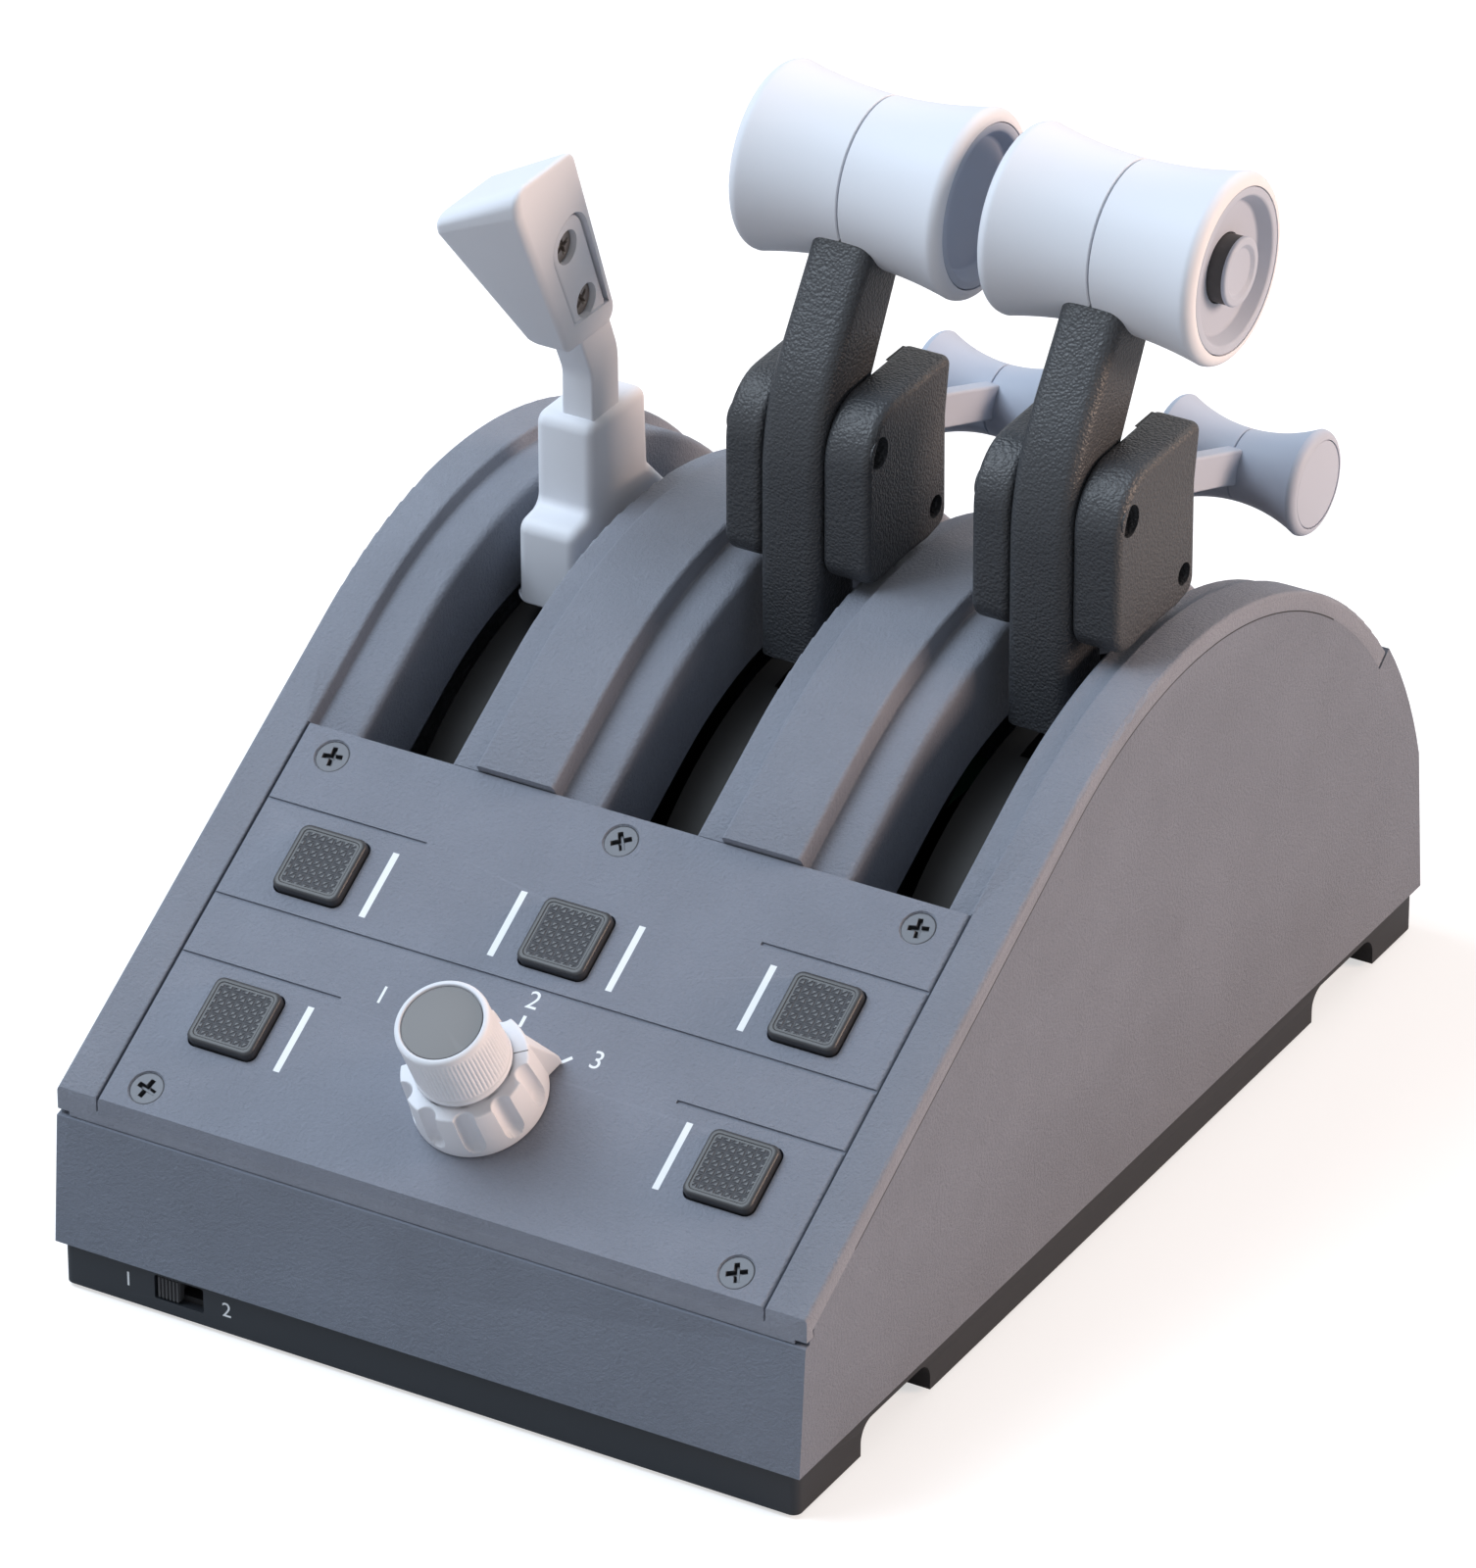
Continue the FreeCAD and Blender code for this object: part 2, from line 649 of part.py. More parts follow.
def deck_sections():
    """Cross-sections of the four fins between and beside the slots, in X and local Z."""
    half_slot = S["slot_width"] / 2
    centres = [slot_centres[name] for name in ("speed_brake", "throttle_left", "throttle_right")]
    deep = height(-S["slot_depth"])
    under = height(-S["ledge_drop"] - S["cover_sheet"])
    skin = height(-S["cover_skin"])
    ledge = height(-S["ledge_drop"])
    strip = height(-S["strip_drop"])
    band = height(S["band_rise"])
    deck = height(0.0)
    wall, soft = S["slot_wall"], S["edge_round"]
    lip = half_width - S["wall"] - S["seat_gap"]
    first = centres[0] - half_slot
    left_fin = [
        Corner(-half_width, skin), Corner(-lip, skin), Corner(-lip, under),
        Corner(first - wall, under), Corner(first - wall, deep), Corner(first, deep),
        Corner(first, ledge, 2.0), Corner(first - S["ledge_width"] - 0.6, ledge, 0.5),
        Corner(first - S["ledge_width"] - 1.5, deck, soft), Corner(-half_width, deck, soft),
    ]
    middle_fins = []
    for index in (0, 1):
        left = centres[index] + half_slot
        right = centres[index + 1] - half_slot
        middle_fins.append([
            Corner(left, deep), Corner(left + wall, deep), Corner(left + wall, under),
            Corner(right - wall, under), Corner(right - wall, deep), Corner(right, deep),
            Corner(right, ledge, 2.0), Corner(right - S["ledge_width"], ledge, 0.5),
            Corner(right - S["ledge_width"] - 0.2, band, soft),
            Corner(left + S["strip_width"], band, soft),
            Corner(left + S["strip_width"], strip), Corner(left, strip, 1.2),
        ])
    last = centres[2] + half_slot
    right_fin = [
        Corner(last, deep), Corner(last + wall, deep), Corner(last + wall, under),
        Corner(lip, under), Corner(lip, skin), Corner(half_width, skin),
        Corner(half_width, deck, soft), Corner(S["rail_inner"] - 0.3, deck, 0.5),
        Corner(S["rail_inner"] - 0.3, height(-1.0)), Corner(last, height(-1.0), 1.2),
    ]
    return [left_fin] + middle_fins + [right_fin]


def make_cover():
    body = new_body("top_cover", PIVOT, S["deck_angle"])
    under = height(-S["ledge_drop"] - S["cover_sheet"])
    skin, deck = height(-S["cover_skin"]), height(0.0)
    lip = half_width - S["wall"] - S["seat_gap"]
    inner = S["rail_inner"]
    front_y, front_z = on_deck(-S["front_face"], S["front_sill"])
    shelf_top = height(-S["panel_sheet"])
    start = slope(S["panel_top"])
    # side rails, full length, from the front face to the start of the arch
    run = -front_y + 6.0
    rails = []
    for side in (-1, 1):
        rail = [Corner(side * half_width, skin), Corner(side * lip, skin),
                Corner(side * lip, under), Corner(side * inner, under),
                Corner(side * inner, deck, 0.5), Corner(side * half_width, deck, S["edge_round"])]
        rails.append(rail if side < 0 else list(reversed(rail)))
    sketch = new_sketch(body, "XZ", rails)
    extrude_sketch(body, sketch, run)
    # shelf that carries the control panel, open below the buttons
    extrude(body, "XY", [box_outline(-lip, front_y - 6.0, lip, start)], under, shelf_top - under)
    window = box_outline(-66.0, slope(-82.5), 66.0, slope(-8.0), 3.0)
    corners = [box_outline(-78.0, slope(-80.0), -60.0, slope(-10.0), 3.0),
               box_outline(60.0, slope(-80.0), 78.0, slope(-10.0), 3.0)]
    extrude(body, "XY", [window], under - 1.0, 6.0, cut=True)
    extrude(body, "XY", corners, under - 1.0, 6.0, cut=True)
    # fins: straight up to the start of the arch, then turned about the axle
    fins = deck_sections()
    sketch = new_sketch(body, "XZ", fins)
    extrude_sketch(body, sketch, -start)
    arc_sketch = new_sketch(body, "XZ", fins)
    revolve_sketch(body, arc_sketch, angle=S["deck_angle"] + S["notch_angle"], backward=True)
    # walls that close the slots at the front and at the rear
    left = slot_centres["speed_brake"] - S["slot_width"] / 2 - S["slot_wall"]
    right = slot_centres["throttle_right"] + S["slot_width"] / 2 + S["slot_wall"]
    deep = height(-S["slot_depth"])
    front_wall = box_outline(left, deep, right, shelf_top)
    extrude(body, "XZ", [front_wall], -start, S["slot_wall"])
    closing = box_outline(left, deep, right, height(-1.0))
    rear_angle = S["deck_angle"] + S["slot_back_angle"]
    revolve(body, "XZ", [closing], lean=-rear_angle,
            angle=S["notch_angle"] - S["slot_back_angle"], backward=True)
    # upright front end
    sill_y, sill_z = on_deck(S["wall"] - S["front_face"], S["front_sill"])
    front_lip = [Corner(front_y, front_z), Corner(sill_y, sill_z),
                 Corner(sill_y + 1.0, shelf_top - 0.5), Corner(front_y - 1.0, shelf_top - 0.5)]
    extrude(body, "YZ", [front_lip], -half_width, S["body_width"])
    trim_front(body)
    # screw holes and posts for the button board
    holes = [(x, y, 2.1) for x, y in panel_screw_spots()]
    extrude(body, "XY", holes, under - 1.0, 6.0, cut=True)
    posts = [(x, y, 2.5) for x, y in board_posts()]
    extrude(body, "XY", posts, height(-13.0), 13.0 - S["panel_sheet"] - 0.5)
    return body


def trim_front(body):
    """Cut the front end upright, in line with the front of the housing."""
    low_y, low_z = on_deck(-S["front_face"], 20.0)
    top_y, top_z = on_deck(-S["front_face"], 60.0)
    far_y, far_z = on_deck(-S["front_face"] - 30.0, 60.0)
    end_y, end_z = on_deck(-S["front_face"] - 30.0, 20.0)
    waste = [Corner(low_y, low_z), Corner(top_y, top_z), Corner(far_y, far_z), Corner(end_y, end_z)]
    extrude(body, "YZ", [waste], -half_width - 1.0, S["body_width"] + 2.0, cut=True)


def panel_screw_spots():
    reach = S["screw_reach"]
    return [(-reach, slope(0.0)), (0.0, slope(0.0)), (reach, slope(0.0)),
            (-reach, slope(-S["screw_row"])), (reach, slope(-S["screw_row"]))]


def board_posts():
    return [(-50.0, slope(-86.0)), (50.0, slope(-86.0)), (-50.0, slope(-4.5)), (50.0, slope(-4.5))]


def button_spots():
    reach, row, step = S["button_reach"], S["button_row"], S["button_step"]
    return [(-reach, slope(-row)), (-reach, slope(-row - step)), (0.0, slope(-row)),
            (reach, slope(-row)), (reach, slope(-row - step))]


def make_panel():
    body = new_body("control_panel", PIVOT, S["deck_angle"])
    front_y, front_z = on_deck(-S["front_face"], S["front_sill"])
    side = S["rail_inner"] - S["panel_gap"]
    low, deck = height(-S["panel_sheet"]), height(0.0)
    top = slope(S["panel_top"]) - S["panel_gap"]
    plate = [Corner(-side, low), Corner(side, low), Corner(side, deck, S["edge_round"]),
             Corner(-side, deck, S["edge_round"])]
    extrude(body, "XZ", [plate], -top, top - front_y + 6.0)
    trim_front(body)
    half = S["button_size"] / 2 + S["button_gap"]
    windows = [box_outline(x - half, y - half, x + half, y + half, 2.2) for x, y in button_spots()]
    extrude(body, "XY", windows, low - 1.0, S["panel_sheet"] + 2.0, cut=True)
    extrude(body, "XY", [(x, y, 2.2) for x, y in panel_screw_spots()], low - 1.0,
            S["panel_sheet"] + 2.0, cut=True)
    selector = (0.0, slope(-S["selector_drop"]), S["shaft_radius"] + 3.0 + S["side_gap"])
    extrude(body, "XY", [selector], low - 1.0, S["panel_sheet"] + 2.0, cut=True)
    for x, y in panel_screw_spots():
        sink = [Corner(0.0, deck - 2.1), Corner(2.2, deck - 2.1),
                Corner(S["screw_head"] / 2 + 0.15, deck - 0.15),
                Corner(S["screw_head"] / 2 + 0.15, deck + 1.0), Corner(0.0, deck + 1.0)]
        sunk_hole(body, x, y, sink)
    # engraved lines across the panel
    wide, half_line = side + 1.0, S["groove_width"] / 2
    extrude(body, "XY", [box_outline(-wide, slope(-39.0) - half_line, wide,
                                     slope(-39.0) + half_line)],
            height(-S["groove_depth"]), 2.0, cut=True)
    stubs = []
    for row in (-13.8, -54.4):
        stubs.append(box_outline(41.5, slope(row) - half_line, wide, slope(row) + half_line))
        stubs.append(box_outline(-wide, slope(row) - half_line, -41.5, slope(row) + half_line))
    extrude(body, "XY", stubs, height(-S["groove_depth"]), 2.0, cut=True)
    return body


def sunk_hole(body, x, y, section):
    """Countersink at x, y: a section with X as radius, turned about the local Z axis."""
    moved = [Corner(corner.across, corner.up) for corner in section]
    sketch = new_sketch(body, "XZ", [moved], start=-as_size(y))
    sketch.AttachmentOffset = FreeCAD.Placement(V(as_size(x).value, 0, -as_size(y).value),
                                                FreeCAD.Rotation())
    if "Sizes." in as_size(x).text:
        sketch.setExpression("AttachmentOffset.Base.x", as_size(x).text)
    revolve_sketch(body, sketch, cut=True, axis="V_Axis")


def make_panel_screws():
    body = new_body("panel_screws", PIVOT, S["deck_angle"])
    deck = height(0.0)
    for x, y in panel_screw_spots():
        section = [Corner(0.0, deck - 11.0), Corner(2.0, deck - 11.0), Corner(2.0, deck - 2.2),
                   Corner(S["screw_head"] / 2, deck - 0.3), Corner(0.0, deck - 0.3)]
        sketch = new_sketch(body, "XZ", [section], start=-as_size(y))
        if "Sizes." in as_size(x).text:
            sketch.setExpression("AttachmentOffset.Base.x", as_size(x).text)
        revolve_sketch(body, sketch, axis="V_Axis")
    return body


def make_buttons():
    deck = height(0.0)
    half, flange = S["button_size"] / 2, S["button_size"] / 2 + 1.2
    bodies = []
    for number, (x, y) in enumerate(button_spots(), start=1):
        body = new_body(f"button_{number}", PIVOT, S["deck_angle"])
        low = height(-S["panel_sheet"] - 0.15)
        cap = extrude(body, "XY", [box_outline(x - half, y - half, x + half, y + half, 2.0)],
                      low, S["button_rise"] + S["panel_sheet"] + 0.15)
        extrude(body, "XY", [box_outline(x - flange, y - flange, x + flange, y + flange)],
                low - 1.4, 1.4)
        stem = extrude(body, "XY", [(x, y, 3.0)], height(-9.0), low - height(-9.0) - 1.0)
        round_edges(body, stem, 0.9,
                    lambda edge: level(edge, "Z", (deck + S["button_rise"]).value))
        bodies.append(body)
    return bodies


def make_button_board():
    body = new_body("button_board", PIVOT, S["deck_angle"])
    low = height(-14.6)
    extrude(body, "XY", [box_outline(-68.0, slope(-89.0), 68.0, slope(-2.0), 2.0),
                         (0.0, slope(-S["selector_drop"]), S["shaft_radius"] + 1.0)], low, 1.6)
    return body


STEM_DEPTH_ROOM = 13.0 - 9.0 - 0.15
"""Space between the board and the stem of a button at rest, less a play of 0.15."""


def make_switches():
    body = new_body("button_switches", PIVOT, S["deck_angle"])
    base = height(-13.0)
    extrude(body, "XY", [box_outline(x - 3.0, y - 3.0, x + 3.0, y + 3.0)
                         for x, y in button_spots()], base, 1.6)
    room = STEM_DEPTH_ROOM - S["button_travel"]
    extrude(body, "XY", [(x, y, 1.5) for x, y in button_spots()], base + 1.5, room - 1.5)
    return body


def make_selector():
    across, middle = 0.0, slope(-S["selector_drop"])
    frame = (0.0, S["pivot_y"] + middle * cosine(S["deck_angle"])
             - S["deck_radius"] * sine(S["deck_angle"]),
             S["foot_height"] + S["pivot_z"] + middle * sine(S["deck_angle"])
             + S["deck_radius"] * cosine(S["deck_angle"]))
    # the ring turns on the shaft; its pointer stands at 45 degrees
    ring = new_body("selector_ring", frame, S["deck_angle"])
    foot, top, tall = S["ring_radius"], S["ring_top_radius"], S["ring_height"]
    sleeve, bore = S["shaft_radius"] + 3.0, S["shaft_radius"] + S["run_fit"]
    profile = [
        Corner(bore, -12.5), Corner(sleeve, -12.5), Corner(sleeve, 0.3), Corner(foot, 0.3),
        Corner(foot, 1.5), Corner(top, tall, 1.0), Corner(bore, tall),
    ]
    revolve(ring, "XZ", [profile], axis="V_Axis")
    flute = new_sketch(ring, "XY", [(foot + 1.0, 0.0, 2.6)], start=2.6)
    pocket = extrude_sketch(ring, flute, tall, cut=True)
    repeat_round(ring, pocket, flute, 10)
    tip, root_width = S["pointer_reach"], 3.4
    pointer = new_sketch(ring, "XY", [[Corner(8.0, -root_width), Corner(foot - 1.5, -root_width),
                                       Corner(tip, -0.5), Corner(tip, 0.5),
                                       Corner(foot - 1.5, root_width), Corner(8.0, root_width)]],
                         start=0.3)
    extrude_sketch(ring, pointer, tall - 0.3)
    slant = [Corner(foot - 1.2, tall + 0.2), Corner(tip + 1.0, 2.0), Corner(tip + 3.0, tall + 0.2)]
    extrude(ring, "XZ", [slant], -6.0, 12.0, cut=True)
    turn_body(ring, 45.0)
    # the knob stands on the ring and turns by itself
    knob = new_body("selector_knob", frame, S["deck_angle"])
    radius, foot_z, high = S["knob_radius"], tall + S["knob_lift"], S["knob_top"]
    profile = [
        Corner(bore, foot_z), Corner(radius, foot_z), Corner(radius, foot_z + 1.2),
        Corner(radius - 0.35, foot_z + 1.5), Corner(radius - 0.35, high, 1.6),
        Corner(radius - 2.6, high), Corner(radius - 2.6, high - 0.9), Corner(bore, high - 0.9),
    ]
    revolve(knob, "XZ", [profile], axis="V_Axis")
    cap = new_body("selector_cap", frame, S["deck_angle"])
    extrude(cap, "XY", [(0.0, 0.0, radius - 2.9)], high - 0.9, 0.6)
    shaft = new_body("selector_shaft", frame, S["deck_angle"])
    extrude(shaft, "XY", [(0.0, 0.0, S["shaft_radius"])], -19.0, high - 0.9 - S["knob_lift"] + 19.0)
    encoder = new_body("selector_encoder", frame, S["deck_angle"])
    extrude(encoder, "XY", [box_outline(-7.0, -7.0, 7.0, 7.0, 1.0)], -23.0, 8.4)
    extrude(encoder, "XY", [(0.0, 0.0, bore)], -20.0, 10.0, cut=True)


def turn_body(body, angle):
    """Turn a body of the deck frame about its own local Z."""
    body.setExpression("Placement.Rotation.Angle", None)
    tilt = FreeCAD.Rotation(V(1, 0, 0), S["deck_angle"].value)
    place = body.Placement
    body.Placement = FreeCAD.Placement(place.Base,
                                       tilt.multiply(FreeCAD.Rotation(V(0, 0, 1), angle)))


# ---------------------------------------------------------------- axle and electronics

# ends of the axle from the sides of the body
AXLE_LEFT, AXLE_RIGHT = 8.2, 7.2


def make_axle():
    body = new_body("lever_axle", PIVOT)
    start, end = AXLE_LEFT - half_width, half_width - AXLE_RIGHT
    extrude(body, "YZ", [(0.0, 0.0, S["axle_radius"])], start, end - start)
    clips = new_body("axle_clips", PIVOT)
    ring = [(0.0, 0.0, 6.5), (0.0, 0.0, S["axle_radius"])]
    extrude(clips, "YZ", ring, start + 1.0, 1.0)
    extrude(clips, "YZ", ring, end - 1.0, 1.0)


BRACKETS = (13.6 - half_width, -28.0, 33.4, half_width - 11.6)
BRACKET_WIDTH = 6.0


def make_brackets():
    body = new_body("axle_brackets", PIVOT)
    floor = S["tray_floor"] - S["pivot_z"]
    outline = [Corner(-22.0, floor), Corner(22.0, floor), Corner(22.0, floor + 3.0, 1.0),
               Corner(9.0, 9.0, 4.0), Corner(-9.0, 9.0, 4.0), Corner(-22.0, floor + 3.0, 1.0)]
    for across in BRACKETS:
        extrude(body, "YZ", [outline, (0.0, 0.0, S["axle_radius"])], across - BRACKET_WIDTH / 2,
                BRACKET_WIDTH)
    return body


def port_outline(across, up, fillet=None):
    """A rectangle about the middle of the USB port."""
    x, z = S["port_x"], S["port_z"]
    return box_outline(x - across, z - up, x + across, z + up, fillet)


def make_boards():
    body = new_body("sensor_boards", PIVOT)
    for across in BRACKETS[:3]:
        extrude(body, "YZ", [box_outline(-9.0, -8.0, 9.0, 8.0, 1.0),
                             (0.0, 0.0, S["axle_radius"] + 0.3)],
                across + BRACKET_WIDTH / 2, 1.2)
    board = new_body("main_board", TRAY)
    middle, edge = S["port_x"], 14.5
    extrude(board, "XY", [box_outline(middle - edge, 62.0, middle + edge, 134.0, 2.0)],
            S["tray_height"] + 4.0, 1.6)
    extrude(board, "XY", [(middle + side * 11.0, back, 3.0) for side in (-1, 1)
                          for back in (66.0, 130.0)], S["tray_floor"], S["tray_height"] + 1.5)
    socket = new_body("usb_socket", TRAY)
    extrude(socket, "XZ", [port_outline(4.47, 1.6, 1.55)], -half_depth + 0.6, 9.0)
    extrude(socket, "XZ", [port_outline(3.9, 1.1, 1.0)], -half_depth, 7.0, cut=True)
    extrude(socket, "XZ", [port_outline(3.2, 0.25)], -half_depth + 1.2, 7.0)
    extrude(socket, "XY", [box_outline(middle - 4.0, half_depth - 9.5, middle + 4.0,
                                       half_depth - 7.0)], S["tray_height"] + 5.6, 2.0)
    return body


def make_slide_switch():
    deep = tray_half_depth
    body = new_body("slide_switch_body", TRAY)
    housing = [Corner(-70.0, S["tray_floor"]), Corner(-53.0, S["tray_floor"]),
               Corner(-53.0, 9.8), Corner(-70.0, 9.8)]
    extrude(body, "XZ", [housing], deep - 10.4, 10.4 - S["tray_wall"] - 0.1)
    slot = box_outline(-68.2, 4.4, -55.0, 7.6)
    extrude(body, "XZ", [slot], deep - 6.0, 6.0, cut=True)
    thumb = new_body("slide_thumb", TRAY)
    extrude(thumb, "XZ", [box_outline(-67.3, 3.4, -61.7, 8.6, 0.4)], deep - S["tray_wall"] + 0.1,
            S["tray_wall"] - 0.7)
    extrude(thumb, "XZ", [box_outline(-66.3, 4.8, -62.7, 7.2)], deep - 5.5, 4.0)
    ribs = [box_outline(-67.0 + step * 0.92, 3.5, -66.5 + step * 0.92, 8.5) for step in range(6)]
    extrude(thumb, "XZ", ribs, deep - 0.7, 0.5)
    return body


# ---------------------------------------------------------------- levers

def ring_point(radius, angle):
    """Local Y, Z about the axle, angle measured backward from upright."""
    return (radius * sine(angle), radius * cosine(angle))


def make_hub(label, across, seat_low, seat_high):
    """Hub, web and dust drum of one lever; the seat for its arm spans seat_low..seat_high."""
    body = new_body(label, pivot_at(across))
    half, sweep = S["drum_width"] / 2, S["drum_half_angle"]
    outer, inner = S["drum_radius"], S["drum_radius"] - S["drum_wall"]
    left_out, right_out = ring_point(outer, -sweep), ring_point(outer, sweep)
    left_in, right_in = ring_point(inner, -sweep), ring_point(inner, sweep)
    crest_out, crest_in = ring_point(outer, 0.0), ring_point(inner, 0.0)
    rim = [Corner(*right_out, bend=outer), Corner(0.0, outer, bend=outer), Corner(*left_out),
           Corner(*left_in, bend=inner, turn_left=False),
           Corner(0.0, inner, bend=inner, turn_left=False), Corner(*right_in)]
    extrude(body, "YZ", [rim], -half, S["drum_width"])
    hub = 9.5
    side_low, side_high = ring_point(hub, -100.0), ring_point(hub, 100.0)
    web_left, web_right = ring_point(inner + 0.5, -sweep), ring_point(inner + 0.5, sweep)
    web = [Corner(*side_high), Corner(*web_right, bend=inner + 0.5),
           Corner(0.0, inner + 0.5, bend=inner + 0.5), Corner(*web_left), Corner(*side_low)]
    extrude(body, "YZ", [web], -2.0, 4.0)
    extrude(body, "YZ", [(0.0, 0.0, hub)], -half, S["drum_width"])
    # block below the rim that takes the tongue of the arm
    low = inner - 14.0
    block = [Corner(seat_low - 3.0, low), Corner(seat_high + 3.0, low),
             Corner(seat_high + 3.0, inner - 0.5), Corner(seat_low - 3.0, inner - 0.5)]
    extrude(body, "YZ", [block], -7.5, 15.0)
    socket = box_outline(seat_low - S["seat_gap"], low + 2.0, seat_high + S["seat_gap"], outer + 2.0)
    extrude(body, "YZ", [socket], -5.0 - S["seat_gap"], 10.0 + 2 * S["seat_gap"], cut=True)
    bore = S["axle_radius"] + S["run_fit"]
    extrude(body, "YZ", [(0.0, 0.0, bore)], -half - 1.0, S["drum_width"] + 2.0, cut=True)
    # lightening holes through the web
    holes = []
    for angle in (-42.0, -24.0, 24.0, 42.0):
        y, z = ring_point(52.0, angle)
        holes.append((y, z, 6.5))
    extrude(body, "YZ", holes, -3.0, 6.0, cut=True)
    return body


def arm_outline(foot, reach):
    """Throttle arm from radius foot to reach beyond the bend, in local Y and Z."""
    front, back = -S["arm_front"], S["arm_depth"] - S["arm_front"]
    lean, knee, soft = S["arm_lean"], S["arm_knee"], S["knee_round"]
    knee_back = knee - S["arm_depth"] * tangent(lean / 2)
    end_front = (front + reach * sine(lean), knee + reach * cosine(lean))
    end_back = (end_front[0] + S["arm_depth"] * cosine(lean), end_front[1] - S["arm_depth"] * sine(lean))
    foot_front = root(foot * foot - front * front)
    foot_back = root(foot * foot - back * back)
    return [Corner(back, foot_back), Corner(back, knee_back, soft - S["arm_depth"]),
            Corner(*end_back), Corner(*end_front), Corner(front, knee, soft),
            Corner(front, foot_front, bend=foot, turn_left=False)]


def make_throttle(side, across, thumb_side):
    """One throttle lever: hub, arm, two shells, two grip halves, caps, thumb button."""
    name = f"throttle_{side}"
    tongue_low, tongue_high = -S["arm_front"] + 2.0, S["arm_depth"] - S["arm_front"] - 2.0
    make_hub(f"{name}_hub", across, tongue_low, tongue_high)
    half = S["arm_width"] / 2
    # arm: reaches past the grip centre into the hollow of the grip
    arm = new_body(f"{name}_arm", pivot_at(across))
    reach = ((S["grip_z"] - S["arm_knee"]) * cosine(S["arm_lean"])
             + (S["grip_y"] + S["arm_front"]) * sine(S["arm_lean"]) + 6.0)
    foot = S["drum_radius"] + S["seat_gap"]
    pad = extrude(arm, "YZ", [arm_outline(foot, reach)], -half, S["arm_width"])
    tongue = box_outline(tongue_low, S["drum_radius"] - S["drum_wall"] - 11.5, tongue_high,
                         S["drum_radius"] + 3.0)
    extrude(arm, "YZ", [tongue], -5.0, 10.0)
    slot_half = S["bar_width"] / 2 + S["side_gap"]
    extrude(arm, "YZ", [reverse_slot()], -slot_half, 2 * slot_half, cut=True)
    eye_room = S["bar_depth"] / 2 + 0.4 + S["side_gap"]
    extrude(arm, "YZ", [(-S["hinge_y"], S["hinge_z"], eye_room)], -slot_half, 2 * slot_half,
            cut=True)
    pin_hole = (-S["hinge_y"], S["hinge_z"], S["pin_radius"])
    extrude(arm, "YZ", [pin_hole], -half - 1.0, S["arm_width"] + 2.0, cut=True)
    # pin that the reverse lever turns on, held by the arm
    pin = new_body(f"reverse_{side}_pin", pivot_at(across))
    extrude(pin, "YZ", [pin_hole], -half - 2.0, S["arm_width"] + 4.0)
    # shells that clamp the arm from both sides
    for hand, thick, sign in (("b", S["shell_right"], 1), ("a", S["shell_left"], -1)):
        shell = new_body(f"{name}_shell_{hand}", pivot_at(across))
        start = half if sign > 0 else -half - thick
        pad = extrude(shell, "YZ", [shell_outline()], start, thick)
        face = (half + thick).value * sign
        rounded = round_edges(shell, pad, S["shell_round"], lambda edge: level(edge, "X", face))
        counterbore = S["pin_radius"] + 1.65
        holes = [(-S["hinge_y"], S["hinge_z"], counterbore), (10.3, 120.5, 2.65)]
        depth = 6.0
        extrude(shell, "YZ", holes, face - depth if sign > 0 else face, depth, cut=True)
        extrude(shell, "YZ", [(-S["hinge_y"], S["hinge_z"], S["pin_radius"] + S["seat_gap"])],
                half - 1.0 if sign > 0 else -half - 4.0, 5.0, cut=True)
    screws = new_body(f"{name}_screws", pivot_at(across))
    screw_z = 120.5
    for sign, thick in ((1, S["shell_right"]), (-1, S["shell_left"])):
        face = (half + thick) * sign
        floor = face - 6.0 * sign
        extrude(screws, "YZ", [(10.3, screw_z, 2.45)], floor if sign > 0 else floor - 2.0, 2.0)
    make_thrust_grip(name, across, thumb_side)


def reverse_slot():
    """Slot through the back of the arm that the reverse bar swings in."""
    y, z = -S["hinge_y"], S["hinge_z"]
    clear = S["bar_depth"] / 2 + 0.8
    low = S["reverse_droop"]
    high = S["reverse_travel"] - S["reverse_droop"]
    far = 40.0
    top_y, top_z = y + far * cosine(high) - clear * sine(high), z + far * sine(high) + clear * cosine(high)
    low_y, low_z = y + far * cosine(low) - clear * sine(low), z - far * sine(low) - clear * cosine(low)
    return [Corner(y - clear * sine(low), z - clear * cosine(low)), Corner(low_y, low_z),
            Corner(top_y, top_z), Corner(y - clear * sine(high), z + clear * cosine(high)),
            Corner(y - clear, z)]


def shell_outline():
    """Side view of a lever shell: foot on an arc about the axle, sloping top, soft corners."""
    front, back = -S["arm_front"] - 1.0, as_size(15.0)
    foot, middle = S["shell_foot"], (front + back) / 2
    front_z = root(foot * foot - front * front)
    back_z = root(foot * foot - back * back)
    crown = 2 * root(foot * foot - middle * middle) - (front_z + back_z) / 2
    return [Corner(front, front_z, 3.0), Corner(middle, crown, 0.7 * foot),
            Corner(back, back_z, 3.0), Corner(back + 0.4, 136.0, 14.0),
            Corner(20.4, 161.2, 8.5), Corner(front, 151.9, 9.0)]


